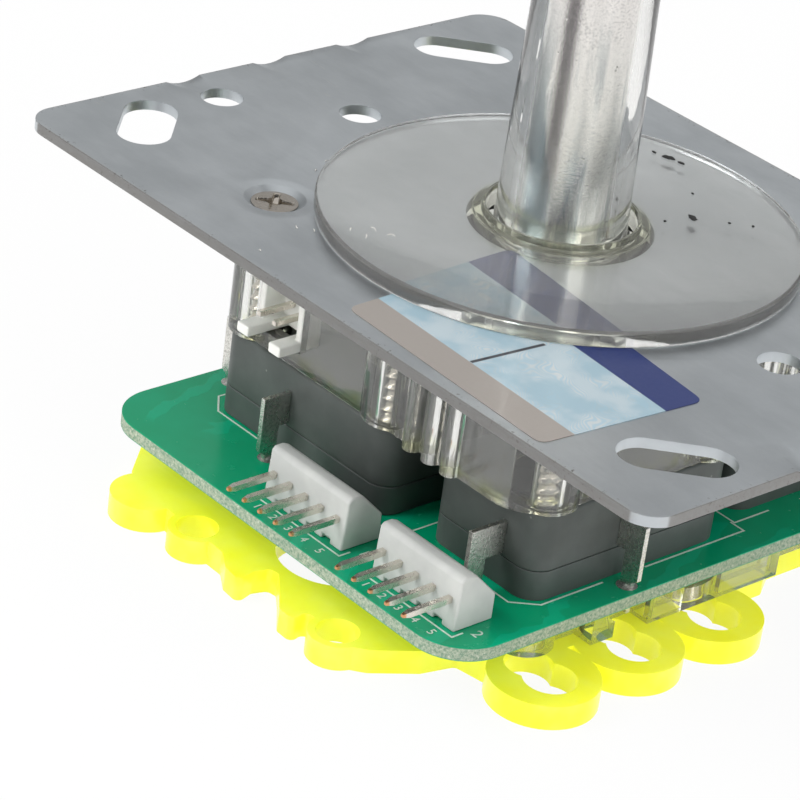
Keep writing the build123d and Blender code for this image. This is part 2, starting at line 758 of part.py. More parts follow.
def gate_edge():
    """Half of the gate's edge, from its front left corner to its rear right one."""
    end = GATE_END_Y
    tab = GATE_TAB_X
    return (
        (-GATE_HALF_X - 2.3, 6.2 - end),
        (1.8 - GATE_HALF_X, 1.7 - end),
        (-tab - 4.0, 0.2 - end),
        (5.5 - tab, -end),
        (8.0 - tab, -1.6 - end),
        (10.8 - tab, -1.9 - end),
        (10.1 - tab, 0.5 - end),
        (10.6 - tab, 2.3 - end),
        (11.8 - tab, 2.5 - end),
        (tab - 9.6, 1.0 - end),
        (tab - 6.3, -1.7 - end),
        (tab - 3.9, -1.8 - end),
        (tab - 4.5, 0.4 - end),
        (tab + 3.0, 0.1 - end),
        (tab + 4.5, 1.4 - end),
        (tab + 7.4, 6.1 - end),
        (tab + 8.3, 10.1 - end),
        (GATE_HALF_X, GATE_LOOP_FIRST_Y - GATE_LOOP_R / 2),
        (GATE_HALF_X, 12.5),
        (GATE_HALF_X - 1.9, 15.4),
        (GATE_HALF_X - 1.9, 22.0),
        (GATE_HALF_X + 2.3, 25.8),
    )


def build_gate():
    """Translucent restrictor gate with hooked front edge and rows of looped eyes."""
    loop_ys = [GATE_LOOP_FIRST_Y + GATE_LOOP_PITCH * step for step in range(GATE_LOOPS)]
    opening = ACTUATOR_TIP_R + (PIVOT_Z - GATE_T / 2) * tan(TILT) + FREE_GAP
    lobe_x = GATE_HALF_X - LOBE_R - 2.0
    tabs = ((-GATE_TAB_X, -GATE_TAB_Y), (GATE_TAB_X, -GATE_TAB_Y))
    edge = gate_edge()
    with BuildPart() as gate:
        with BuildSketch(level(0)) as outline:
            with BuildLine():
                Polyline(*edge, *[(-x, -y) for x, y in edge], close=True)
            make_face()
            fillet(outline.vertices(), GATE_FILLET)
            for half_turn in (0, 180):
                with Locations(Location((0, 0), half_turn)):
                    with Locations((-lobe_x, 0.6 - GATE_END_Y)):
                        Circle(LOBE_R)
                    with Locations(*tabs):
                        Circle(GATE_TAB_HOLE_R + GATE_TAB_WALL)
                    with Locations(*[(GATE_LOOP_X, y) for y in loop_ys]):
                        Circle(GATE_LOOP_R)
            for half_turn in (0, 180):
                with Locations(Location((0, 0), half_turn)):
                    with Locations((0, -GATE_EYE_Y)):
                        Circle(GATE_EYE_R, mode=Mode.SUBTRACT)
                    with Locations(*tabs):
                        Circle(GATE_TAB_HOLE_R, mode=Mode.SUBTRACT)
                    with Locations(*[(GATE_LOOP_X + LOOP_HOLE_OUT, y) for y in loop_ys]):
                        Circle(LOOP_HOLE_R, mode=Mode.SUBTRACT)
                    with Locations(*[(GATE_LOOP_X - LOOP_NECK_IN, y) for y in loop_ys]):
                        Circle(LOOP_NECK_R, mode=Mode.SUBTRACT)
            RectangleRounded(2 * opening, 2 * opening, GATE_CORNER, mode=Mode.SUBTRACT)
        extrude(amount=GATE_T)
    save(gate.part, "restrictor_gate")


build_mounting_plate()
build_plate_screws()
build_dust_washer()
build_lever()
actuator_top = build_actuator()
seat_foot_z = build_pivot()
build_spring(actuator_top, seat_foot_z)
build_clear_housing(seat_foot_z)
for side_name, side_turn in SIDES.items():
    build_switch(side_name, side_turn)
build_boards()
for header_index, header_x in enumerate(HEADER_X, start=1):
    build_header(header_index, header_x)
build_light_header()
build_lower_frame()
build_frame_screws()
build_gate()
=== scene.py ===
"""Arcade joystick lever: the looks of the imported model, in its shared frame.

Lengths in this file are millimetres in the row frame and become metres when a
mesh is made. X runs along the mounting plate, Z up the shaft, and the origin is
the middle of the gate's underside.
"""

import json
import logging
from dataclasses import dataclass
from enum import Enum
from math import cos, pi, radians, sin
from typing import Any, Iterator, Optional, Sequence, Union

import bmesh
import bpy
import numpy as np
from mathutils import Matrix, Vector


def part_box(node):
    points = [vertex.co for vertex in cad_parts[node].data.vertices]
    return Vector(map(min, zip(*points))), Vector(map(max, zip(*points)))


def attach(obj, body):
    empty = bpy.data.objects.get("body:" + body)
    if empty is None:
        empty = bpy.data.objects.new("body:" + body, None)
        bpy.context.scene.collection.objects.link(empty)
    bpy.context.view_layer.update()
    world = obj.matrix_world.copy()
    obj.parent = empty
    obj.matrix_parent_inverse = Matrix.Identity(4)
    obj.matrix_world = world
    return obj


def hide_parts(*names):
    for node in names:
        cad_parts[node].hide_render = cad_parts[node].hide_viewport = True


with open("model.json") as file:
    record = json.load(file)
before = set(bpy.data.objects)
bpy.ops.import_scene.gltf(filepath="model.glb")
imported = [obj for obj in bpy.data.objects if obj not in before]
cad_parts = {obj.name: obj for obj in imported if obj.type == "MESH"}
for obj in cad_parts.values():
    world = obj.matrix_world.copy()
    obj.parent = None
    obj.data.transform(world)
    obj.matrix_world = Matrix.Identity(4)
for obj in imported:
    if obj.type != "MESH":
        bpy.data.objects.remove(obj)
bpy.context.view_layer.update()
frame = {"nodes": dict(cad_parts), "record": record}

MM = 0.001
BODY_OF: dict[str, str] = {
    node: body
    for body, nodes in frame["record"]["behaviour"]["bodies"].items()
    for node in nodes
}
LOG = logging.getLogger("lever")

Triple = tuple[float, float, float]
Colour = Triple
Point = tuple[float, float]
Piece = bpy.types.Object
Socket = bpy.types.NodeSocket
Number = Union["Wire", float]


class Side(Enum):
    """The four sides of the pinwheel, with the turn from the right one in degrees."""

    RIGHT = 0
    REAR = 90
    LEFT = 180
    FRONT = 270

    @property
    def word(self) -> str:
        """The side's name as the nodes spell it."""
        return self.name.lower()

    def turn(self, points: np.ndarray) -> np.ndarray:
        """Turn points given for the right side about the shaft axis to this side.

        Args:
            points: Array whose last axis is x, y or x, y, z.

        Returns:
            The turned copy.
        """
        c, s = round(cos(radians(self.value))), round(sin(radians(self.value)))
        out = np.array(points, float)
        out[..., 0], out[..., 1] = (
            c * points[..., 0] - s * points[..., 1],
            s * points[..., 0] + c * points[..., 1],
        )
        return out


class Recess(Enum):
    """What is cut into a screw's head."""

    CROSS = 4
    NONE = 0


class Wire:
    """One value of a shader tree. Python's operators on it add Math nodes."""

    def __init__(self, recipe: "Recipe", socket: Socket) -> None:
        """Wrap an output socket of the recipe's tree."""
        self.recipe = recipe
        self.socket = socket

    def math(self, operation: str, *values: Number) -> "Wire":
        """Add one Math node that works on the given values.

        Args:
            operation: The node's operation, such as "ADD".
            values: Its inputs in order.

        Returns:
            The node's value.
        """
        node = self.recipe.node("ShaderNodeMath", {"operation": operation}, dict(enumerate(values)))
        return Wire(self.recipe, node.outputs[0])

    def __add__(self, other: Number) -> "Wire":
        """Self plus other."""
        return self.math("ADD", self, other)

    __radd__ = __add__

    def __sub__(self, other: Number) -> "Wire":
        """Self less other."""
        return self.math("SUBTRACT", self, other)

    def __rsub__(self, other: float) -> "Wire":
        """Other less self."""
        return self.math("SUBTRACT", other, self)

    def __mul__(self, other: Number) -> "Wire":
        """Self times other."""
        return self.math("MULTIPLY", self, other)

    __rmul__ = __mul__

    def __truediv__(self, other: Number) -> "Wire":
        """Self over other."""
        return self.math("DIVIDE", self, other)

    def __rtruediv__(self, other: float) -> "Wire":
        """Other over self."""
        return self.math("DIVIDE", other, self)

    def __abs__(self) -> "Wire":
        """Distance from nought."""
        return self.math("ABSOLUTE", self)

    def root(self) -> "Wire":
        """Square root."""
        return self.math("SQRT", self)

    def least(self, other: Number) -> "Wire":
        """The smaller of the two."""
        return self.math("MINIMUM", self, other)

    def most(self, other: Number) -> "Wire":
        """The larger of the two."""
        return self.math("MAXIMUM", self, other)

    def rise(self, low: float, high: float) -> "Wire":
        """A smooth step.

        Args:
            low: Where it is 0.
            high: Where it is 1; a high below low turns the step round.

        Returns:
            The step's value.
        """
        node = self.recipe.node(
            "ShaderNodeMapRange",
            {"interpolation_type": "SMOOTHSTEP"},
            {0: self, 1: low, 2: high, 3: 0.0, 4: 1.0},
        )
        return Wire(self.recipe, node.outputs[0])

    def between(self, low: float, high: float, soft: float) -> "Wire":
        """A band: 1 from low to high, falling to 0 over soft on either side."""
        return self.rise(low - soft, low + soft) * self.rise(high + soft, high - soft)


class Recipe:
    """A node tree while it is being put together."""

    def __init__(self, tree: bpy.types.NodeTree, place: str = "Object") -> None:
        """Empty the tree and start it from one of the texture coordinates.

        Args:
            tree: The tree of a material or of the world.
            place: The coordinates' name.
        """
        self.tree = tree
        self.tree.nodes.clear()
        self.spot = self.node("ShaderNodeTexCoord").outputs[place]

    def node(
        self,
        kind: str,
        settings: Optional[dict[str, Any]] = None,
        inputs: Optional[dict[Union[str, int], Any]] = None,
    ) -> bpy.types.Node:
        """Add one node.

        Args:
            kind: The node's type name.
            settings: Its properties, such as a Math node's operation, which are set first.
            inputs: Values or links of its sockets, by name or index.

        Returns:
            The new node.
        """
        node = self.tree.nodes.new(kind)
        for key, value in (settings or {}).items():
            setattr(node, key, value)
        for key, value in (inputs or {}).items():
            socket = node.inputs[key]
            if isinstance(value, Wire):
                self.tree.links.new(value.socket, socket)
            elif isinstance(value, Socket):
                self.tree.links.new(value, socket)
            elif isinstance(value, tuple) and socket.type == "RGBA":
                socket.default_value = (*value, 1.0)
            else:
                socket.default_value = value
        return node

    def mapped(self, scale: Triple = (1, 1, 1), turn: float = 0.0, shift: Point = (0, 0)) -> Socket:
        """The coordinates stretched, turned about Z and moved by a Mapping node.

        Args:
            scale: The stretch along each axis.
            turn: The turn in degrees.
            shift: The move in millimetres.

        Returns:
            The node's vector.
        """
        move = (shift[0] * MM, shift[1] * MM, 0)
        inputs = {0: self.spot, 1: move, 2: (0, 0, radians(turn)), 3: scale}
        return self.node("ShaderNodeMapping", {}, inputs).outputs[0]

    def axis(self, which: int) -> Wire:
        """One of the object coordinates, in millimetres."""
        return Wire(self, self.node("ShaderNodeSeparateXYZ", {}, {0: self.spot}).outputs[which]) * (1 / MM)

    def cloud(
        self,
        size: float,
        detail: float = 4.0,
        rough: float = 0.55,
        place: Optional[Socket] = None,
    ) -> Wire:
        """Noise from 0 to 1.

        Args:
            size: About how many millimetres its features are across.
            detail: How many finer layers it has.
            rough: How strong the finer layers are.
            place: Where it is read, by default at the tree's coordinates.

        Returns:
            The noise's value.
        """
        inputs = {"Vector": place or self.spot, "Scale": 1 / (size * MM)}
        inputs |= {"Detail": detail, "Roughness": rough}
        return Wire(self, self.node("ShaderNodeTexNoise", {}, inputs).outputs["Fac"])

    def drawn(
        self,
        size: float,
        stretch: float,
        heading: float,
        detail: float = 2.0,
        rough: float = 0.5,
    ) -> Wire:
        """Noise that a level heading in degrees draws out to 1 / stretch of its size."""
        return self.cloud(size, detail, rough, self.mapped((stretch, 1, 1), heading))

    def cells(self, size: float) -> Wire:
        """Distance to the nearest of scattered points about size millimetres apart."""
        inputs = {"Vector": self.spot, "Scale": 1 / (size * MM), "Randomness": 1.0}
        return Wire(self, self.node("ShaderNodeTexVoronoi", {}, inputs).outputs["Distance"])

    def blend(self, share: Number, one: Any, two: Any) -> Socket:
        """Mix two colours by share, from one to two."""
        settings = {"data_type": "RGBA", "clamp_factor": True}
        return self.node("ShaderNodeMix", settings, {0: share, 6: one, 7: two}).outputs[2]

    def layers(self, tone: Any, *coats: tuple[Number, Any]) -> Socket:
        """Lay colours over a first one in order.

        Args:
            tone: The first colour.
            coats: Pairs of a share and the colour that it lays over what is there.

        Returns:
            The last mix.
        """
        for share, colour in coats:
            tone = self.blend(share, tone, colour)
        return tone

    def relief(self, height: Wire, depth: float) -> Socket:
        """A bumped normal whose height runs over depth millimetres."""
        inputs = {"Strength": 1.0, "Distance": depth * MM, "Height": height}
        return self.node("ShaderNodeBump", {}, inputs).outputs[0]

    def finish(self, **sockets: Any) -> None:
        """End the tree in one Principled shader.

        Args:
            sockets: Its sockets, with an underscore for each space of a name.
        """
        named = {key.replace("_", " "): value for key, value in sockets.items()}
        shader = self.node("ShaderNodeBsdfPrincipled", {}, named)
        self.node("ShaderNodeOutputMaterial", {}, {0: shader.outputs[0]})


def away(x: Wire, y: Wire, spot: Point) -> Wire:
    """Distance of the place x, y from a spot: the root of the two squares' sum."""
    return ((x - spot[0]) * (x - spot[0]) + (y - spot[1]) * (y - spot[1])).root()


class Finish:
    """A finish that makes its material once and hands it out."""

    name: str
    _made: dict[str, bpy.types.Material] = {}

    def fill(self, r: Recipe) -> None:
        """Put the material's nodes into the tree r, each finish in its own way."""
        raise NotImplementedError

    @property
    def material(self) -> bpy.types.Material:
        """The one material of this finish.

        Returns:
            The material, made when it is first asked for.
        """
        if self.name not in Finish._made:
            material = bpy.data.materials.new(self.name)
            material.use_nodes = True
            self.fill(Recipe(material.node_tree))
            Finish._made[self.name] = material
        return Finish._made[self.name]


@dataclass(frozen=True)
class PlateSteel(Finish):
    """Zinc-plated sheet with haze, scratches, pressed rings and specks along its worn edges."""

    name: str = "plate_steel"
    dull: Colour = (0.540, 0.577, 0.602)
    bright: Colour = (0.690, 0.726, 0.752)
    speck: Colour = (0.12, 0.11, 0.10)
    worn: Colour = (0.74, 0.74, 0.73)
    sheared: Colour = (0.44, 0.42, 0.40)
    half: Point = (49.25, 34.5)
    screw_spots: Sequence[Point] = ((22.6, -20.1), (20.1, 22.6), (-22.6, 20.1), (-20.1, -22.6))
    ring: Point = (2.8, 5.0)
    depth: float = 0.012

    def pressed(self, x: Wire, y: Wire) -> Wire:
        """The rings round the screws: 1 within the ring's inner radius, 0 past its outer one.

        Args:
            x: The place across the plate.
            y: The place along it.

        Returns:
            The largest of the four rings' values.
        """
        bowls = [away(x, y, spot).rise(self.ring[1], self.ring[0]) for spot in self.screw_spots]
        sunk = bowls[0]
        for bowl in bowls[1:]:
            sunk = sunk.most(bowl)
        return sunk

    def fill(self, r: Recipe) -> None:
        """Haze moves colour and gloss; wear follows the distance to the nearest edge.

        Args:
            r: The tree to fill.
        """
        x, y = r.axis(0), r.axis(1)
        haze = r.cloud(16, 6, 0.62)
        smear = r.drawn(3.5, 0.35, -24, 5, 0.65)
        grain = r.drawn(0.45, 0.14, 8, 3, 0.7)
        fine = r.cloud(0.14, 2)
        scratch = r.drawn(0.32, 0.02, 31).rise(0.71, 0.77) + r.drawn(0.28, 0.03, -57).rise(0.73, 0.78)
        cuts = r.drawn(0.5, 0.10, 33, 3, 0.6).rise(0.66, 0.70) * r.cloud(11, 2).rise(0.52, 0.6)
        border = (self.half[0] - abs(x)).least(self.half[1] - abs(y))
        rub = (border + r.cloud(0.9, 3, 0.6) * 1.1).rise(1.05, 0.55)
        specks = border.rise(1.1, 0.2) * r.cloud(0.42, 3, 0.6).rise(0.60, 0.67)
        specks = specks * r.cloud(7, 2).rise(0.42, 0.55)
        edge = border.rise(0.16, 0.06)
        tone = r.layers(
            self.dull,
            (haze.rise(0.3, 0.7) * 0.6 + smear.rise(0.35, 0.7) * 0.3 + grain * 0.2, self.bright),
            (rub * 0.25 + cuts * 0.5, self.worn),
            (specks * 0.75, self.speck),
            (edge * (0.45 + grain * 0.5), self.sheared),
        )
        gloss = 0.27 + edge * 0.3 + haze * 0.16 + smear * 0.10 + fine * 0.06
        gloss = gloss + scratch * 0.10 + rub * 0.08 + cuts * 0.2
        height = grain * 0.35 + fine * 0.2 - scratch * 0.5 - specks * 1.2 + haze * 2.0 + cuts * 1.5
        height = height - self.pressed(x, y) * 22.0
        r.finish(Base_Color=tone, Metallic=1.0, Roughness=gloss, Normal=r.relief(height, self.depth))


@dataclass(frozen=True)
class BrightSteel(Finish):
    """Polished steel with an orange-peel skin, faint streaks, a few pits and a painted reflection of the
    plate at its foot.
    """

    name: str = "shaft_steel"
    dull: Colour = (0.78, 0.755, 0.755)
    bright: Colour = (0.95, 0.915, 0.92)
    fleck: Colour = (0.30, 0.27, 0.28)
    pit: Colour = (0.1, 0.09, 0.08)
    # painted reflection colours: a warm tint and the plate's darker blue-grey, laid on the shaft's foot
    warm: Colour = (0.80, 0.82, 0.72)
    shade: Colour = (0.20, 0.255, 0.285)
    stretch: Triple = (1.0, 1.0, 0.06)
    gloss: float = 0.06
    skin: float = 0.018
    tarnish: float = 0.0
    tarnish_top: float = 66.0
    tarnish_fade: float = 20.0

    def fill(self, r: Recipe) -> None:
        """Streaks are noise stretched along one axis, the skin is fine noise, pits are scattered
        points, and the painted reflection is upright blue-grey streaks that fade out with height.

        Args:
            r: The tree to fill.
        """
        streak = r.cloud(0.7, 4, 0.6, r.mapped(self.stretch))
        patch = r.cloud(5, 3)
        peel = r.cloud(0.24, 2, 0.6)
        pits = r.cells(1.3).rise(0.11, 0.05) * r.cloud(3).rise(0.50, 0.58)
        flecks = r.cloud(0.26, 3, 0.75).rise(0.50, 0.62) * patch.rise(0.30, 0.55)
        # painted reflection: the plate's blue-grey and a warm tint on the lower part, in upright streaks
        # fading out with height; roughness also rises there
        foot = r.axis(2).rise(self.tarnish_top, self.tarnish_top - self.tarnish_fade) * self.tarnish
        painted_reflection_streaks = r.cloud(3.4, 4, 0.62, r.mapped((1.0, 1.0, 0.10), shift=(0.9, 0.4))).rise(0.43, 0.57)
        tone = r.layers(
            self.dull,
            (streak * 0.6 + patch * 0.4, self.bright),
            (flecks * 0.38, self.fleck),
            (pits * 0.6, self.pit),
            (foot * 0.35, self.warm),
            (foot * (0.08 + painted_reflection_streaks * 0.84), self.shade),
        )
        rough = self.gloss + patch * 0.08 + peel * 0.05 + pits * 0.3 + foot * (0.04 + painted_reflection_streaks * 0.06)
        height = streak * 0.4 + peel - pits * 3
        r.finish(Base_Color=tone, Metallic=1.0, Roughness=rough, Normal=r.relief(height, self.skin))


@dataclass(frozen=True)
class TinnedBrass(Finish):
    """Tinned contact metal whose cut ends show copper."""

    name: str = "tinned"
    tin: Colour = (0.88, 0.865, 0.82)
    grey: Colour = (0.34, 0.33, 0.30)
    copper: Colour = (0.72, 0.36, 0.18)
    ends: float = -38.9
    grit: float = 0.45
    depth: float = 0.035

    def fill(self, r: Recipe) -> None:
        """Colour turns to copper past the pins' tips; noise dulls the tin in patches.

        Args:
            r: The tree to fill.
        """
        patch = r.cloud(1.6, 4, 0.6)
        fine = r.cloud(0.20, 3, 0.7)
        grains = r.cloud(0.30, 4, 0.75).rise(0.44, 0.62)
        tip = r.axis(1).rise(self.ends + 0.15, self.ends - 0.1)
        tone = r.layers(self.tin, (patch * 0.3 + grains * self.grit, self.grey), (tip, self.copper))
        bumps = r.relief(fine * (self.grit * 3) + patch, self.depth)
        r.finish(Base_Color=tone, Metallic=1.0, Roughness=0.20 + patch * 0.14, Normal=bumps)


@dataclass(frozen=True)
class ClearPlastic(Finish):
    """Clear moulding with faint flow marks, fine scuffs and a painted yellow glint of the gate's light at an
    edge.
    """

    name: str = "clear_plastic"
    tint: Colour = (0.965, 0.97, 0.94)
    # painted glint colour: the gate's yellow light at edges, laid into the tint
    caught: Colour = (0.86, 0.90, 0.46)
    dull: float = 0.02
    flow: float = 0.014
    clarity: float = 0.925
    caught_r: float = 0.0
    caught_z: float = 0.0
    caught_h: float = 1.6

    def fill(self, r: Recipe) -> None:
        """Scuffs raise the roughness, slow noise bends the surface, and a painted glint turns the tint to the
        gate's yellow within a radius of the axis and along a band of heights.

        Args:
            r: The tree to fill.
        """
        x, y, z = r.axis(0), r.axis(1), r.axis(2)
        scuff = r.cloud(1.2, 4, 0.7).rise(0.5, 0.75)
        flow = r.cloud(4, 2)
        patch = r.cloud(2.6, 3).rise(0.42, 0.60)
        # painted glint: yellow tint at the disc's lip and along a band of the housing's foot, in place of the
        # gate's light
        painted_glint_bore = away(x, y, (0, 0)).rise(self.caught_r + 0.6, self.caught_r - 0.4) * 0.35
        painted_glint_foot = z.between(self.caught_z, self.caught_z + self.caught_h, 0.8) * patch * 0.8
        r.finish(
            Base_Color=r.blend(painted_glint_bore.most(painted_glint_foot), self.tint, self.caught),
            Roughness=self.dull + scuff * 0.08,
            Transmission_Weight=self.clarity,
            IOR=1.49,
            Normal=r.relief(flow + scuff * 0.02, self.flow),
        )


@dataclass(frozen=True)
class Moulded(Finish):
    """Opaque or slightly cloudy moulded plastic with a fine eroded texture."""

    name: str = "switch_grey"
    low: Colour = (0.062, 0.070, 0.066)
    high: Colour = (0.088, 0.098, 0.093)
    dust: Colour = (0.6, 0.6, 0.58)
    gloss: float = 0.38
    grain: float = 0.004
    through: float = 0.0

    def fill(self, r: Recipe) -> None:
        """Two tones under slow noise, dust specks, and grain in the normal.

        Args:
            r: The tree to fill.
        """
        slow = r.cloud(6, 4)
        grain = r.cloud(0.22, 3, 0.7)
        specks = r.cells(2.3).rise(0.07, 0.03) * r.cloud(1.1).rise(0.52, 0.6)
        r.finish(
            Base_Color=r.layers(self.low, (slow.rise(0.3, 0.7), self.high), (specks * 0.35, self.dust)),
            Roughness=self.gloss + grain * 0.12 + specks * 0.2,
            Subsurface_Weight=self.through,
            Subsurface_Radius=(0.002, 0.002, 0.002),
            IOR=1.46,
            Normal=r.relief(grain + slow, self.grain),
        )


@dataclass(frozen=True)
class SolderMask(Finish):
    """Green mask over copper on glass board: glossy top, pale fibre on the cut edge."""

    name: str = "green_board"
    mask: Colour = (0.0, 0.31, 0.14)
    trace: Colour = (0.0, 0.43, 0.23)
    resin: Colour = (0.16, 0.27, 0.19)
    fibre: Colour = (0.42, 0.47, 0.36)
    torn: Colour = (0.70, 0.72, 0.66)
    top: float = 9.3
    foot: float = 7.7
    pitch: float = 3.4
    depth: float = 0.02

    def fill(self, r: Recipe) -> None:
        """Traces are bands of the coordinates bent by noise; the edge is where neither face is.

        Args:
            r: The tree to fill.
        """
        x, y, z = r.axis(0), r.axis(1), r.axis(2)
        slow = r.cloud(9, 3)
        weave = r.cloud(0.35, 2, 0.5, r.mapped((1, 1, 0.3)))
        bent = x + y * 0.35 + slow * 9
        copper = bent.math("PINGPONG", bent, self.pitch).rise(2.5, 2.7) * r.cloud(16, 1).rise(0.45, 0.5)
        inside = z.between(self.foot + 0.12, self.top - 0.12, 0.06)
        chips = r.cloud(0.28, 4, 0.7)
        edge = r.layers(self.resin, (chips.rise(0.35, 0.62), self.fibre), (chips.rise(0.60, 0.72), self.torn))
        tone = r.layers(
            self.mask, (copper * 0.5, self.trace), (slow.rise(0.3, 0.8) * 0.35, self.trace), (inside, edge)
        )
        r.finish(
            Base_Color=tone,
            Roughness=0.20 + inside * 0.45 + r.cloud(2).rise(0.4, 0.8) * 0.1,
            IOR=1.42,
            Normal=r.relief(copper * 0.6 + weave * (inside * 1.5 + 0.15), self.depth),
        )


@dataclass(frozen=True)
class Fluorescent(Finish):
    """Yellow acrylic with a painted glow: an even emission that stands in for the light it gathers and gives
    back.
    """

    name: str = "yellow_gate"
    pale: Colour = (0.97, 0.97, 0.12)
    deep: Colour = (0.94, 0.90, 0.03)
    lit: Colour = (0.98, 1.0, 0.06)
    glow: float = 0.21
    depth: float = 0.03

    def fill(self, r: Recipe) -> None:
        """Two yellows under slow noise, part of the light let through, and a faint even painted glow.

        Args:
            r: The tree to fill.
        """
        slow = r.cloud(7, 3)
        fine = r.cloud(0.5, 3)
        r.finish(
            Base_Color=r.blend(slow.rise(0.3, 0.7), self.deep, self.pale),
            Roughness=0.16 + fine * 0.12,
            Subsurface_Weight=0.6,
            Subsurface_Radius=(0.004, 0.004, 0.001),
            Transmission_Weight=0.15,
            IOR=1.49,
            # painted glow: the gate emits a faint yellow though it is no lamp
            Emission_Color=self.lit,
            Emission_Strength=self.glow,
            Normal=r.relief(slow + fine * 0.2, self.depth),
        )


@dataclass(frozen=True)
class Ink(Finish):
    """White print on the board, slightly uneven."""

    name: str = "white_ink"
    full: Colour = (0.62, 0.72, 0.64)
    bare: Colour = (0.35, 0.58, 0.42)
    depth: float = 0.01

    def fill(self, r: Recipe) -> None:
        """Noise thins the ink in places.

        Args:
            r: The tree to fill.
        """
        thin = r.cloud(0.35, 3, 0.6)
        tone = r.blend(thin.rise(0.4, 0.8) * 0.6, self.full, self.bare)
        r.finish(Base_Color=tone, Roughness=0.55, Normal=r.relief(thin, self.depth))


@dataclass(frozen=True)
class LabelPrint(Finish):
    """Plain generic label: blue band, pale field with waves, grey strip and a thin bar."""

    name: str = "label_print"
    corner: Point = (2.9, -31.9)
    turn: float = 4.5
    strip: float = 4.1
    band: float = 16.4
    wave_pitch: float = 0.34
    bar_along: Point = (14.3, 14.75)
    bar_across: Point = (4.6, 13.9)
    sky: Colour = (0.34, 0.47, 0.54)
    pale: Colour = (0.56, 0.60, 0.61)
    wave: Colour = (0.30, 0.50, 0.62)
    grey: Colour = (0.33, 0.300, 0.275)
    blue: Colour = (0.020, 0.036, 0.150)
    black: Colour = (0.03, 0.03, 0.04)
    depth: float = 0.006

    def fill(self, r: Recipe) -> None:
        """Bands are steps of the distance along and across the label; waves are folded lines.

        Args:
            r: The tree to fill.
        """
        x, y = r.axis(0) - self.corner[0], r.axis(1) - self.corner[1]
        c, s = cos(radians(self.turn)), sin(radians(self.turn))
        along, across = x * c - y * s, x * s + y * c
        bent = across + along * 0.3 + r.cloud(4.5, 1) * 9
        wave = abs(bent.math("PINGPONG", bent, self.wave_pitch) - self.wave_pitch / 2).rise(0.04, 0.12)
        patch = r.cloud(4, 3).rise(0.35, 0.65)
        rub = r.cloud(0.5, 3)
        tone = r.layers(
            self.sky,
            (patch, self.pale),
            (wave * (0.25 + patch * 0.35), self.wave),
            ((y + x * 0.045).rise(self.strip, self.strip - 0.1), self.grey),
            (across.rise(self.band, self.band + 0.1), self.blue),
            (along.between(*self.bar_along, 0.05) * across.between(*self.bar_across, 0.05), self.black),
        )
        gloss = 0.30 + rub * 0.15
        r.finish(Base_Color=tone, Roughness=gloss, Coat_Weight=0.12, Normal=r.relief(rub, self.depth))


@dataclass(frozen=True)
class StageWhite(Finish):
    """Pale floor that shows white to the camera and in gloss, and keeps the soft shadow."""

    name: str = "stage_white"
    lift: float = 0.93
    heading: float = -91.0
    spread: float = 0.50
    lane_start: Point = (60, 100)
    matt: Colour = (0.9, 0.9, 0.9)
    white: Colour = (1.0, 1.0, 1.0)
    dim: Colour = (0.06, 0.05, 0.06)

    def fill(self, r: Recipe) -> None:
        """Camera, glossy and through rays see mostly white; gloss also sees a dim lane that
        starts at the object's front corner and widens with distance.

        Args:
            r: The tree to fill.
        """
        path = r.node("ShaderNodeLightPath")
        gloss = Wire(r, path.outputs["Is Glossy Ray"])
        seen = Wire(r, path.outputs["Is Camera Ray"]).most(gloss)
        seen = seen.most(Wire(r, path.outputs["Is Transmission Ray"]))
        x, y = r.axis(0), r.axis(1)
        c, s = cos(radians(self.heading)), sin(radians(self.heading))
        ahead, aside = x * c + y * s, abs(x * -s + y * c)
        lane = (aside / ahead.most(1.0)).rise(self.spread, self.spread * 0.2) * ahead.rise(*self.lane_start)
        tone = r.blend(lane * gloss, self.white, self.dim)
        matt = r.node("ShaderNodeBsdfDiffuse", {}, {0: self.matt})
        white = r.node("ShaderNodeEmission", {}, {0: tone, 1: 1.0})
        inputs = {0: seen * self.lift, 1: matt.outputs[0], 2: white.outputs[0]}
        mixed = r.node("ShaderNodeMixShader", {}, inputs)
        r.node("ShaderNodeOutputMaterial", {}, {0: mixed.outputs[0]})


def steel(name: str, dull: Colour, bright: Colour, gloss: float, skin: float = 0.018) -> BrightSteel:
    """Bright steel without a grain that runs one way."""
    return BrightSteel(name=name, dull=dull, bright=bright, stretch=(1, 1, 1), gloss=gloss, skin=skin)


def plastic(name: str, low: Colour, high: Colour, gloss: float, **rest: float) -> Moulded:
    """Moulded plastic between two tones."""
    return Moulded(name=name, low=low, high=high, gloss=gloss, **rest)


def grey(level: float) -> Colour:
    """A neutral tone."""
    return (level, level, level)


PLATE = PlateSteel()
# the shaft carries the painted reflection at its foot
SHAFT = BrightSteel(tarnish=1.0)
SCREW = steel("screw_steel", (0.44, 0.40, 0.35), (0.66, 0.62, 0.56), 0.16, 0.01)
SPRING = steel("spring_steel", grey(0.30), grey(0.5), 0.24)
TINNED = TinnedBrass()
PIN = TinnedBrass(name="pin_metal", tin=(0.86, 0.80, 0.72), grit=0.08)
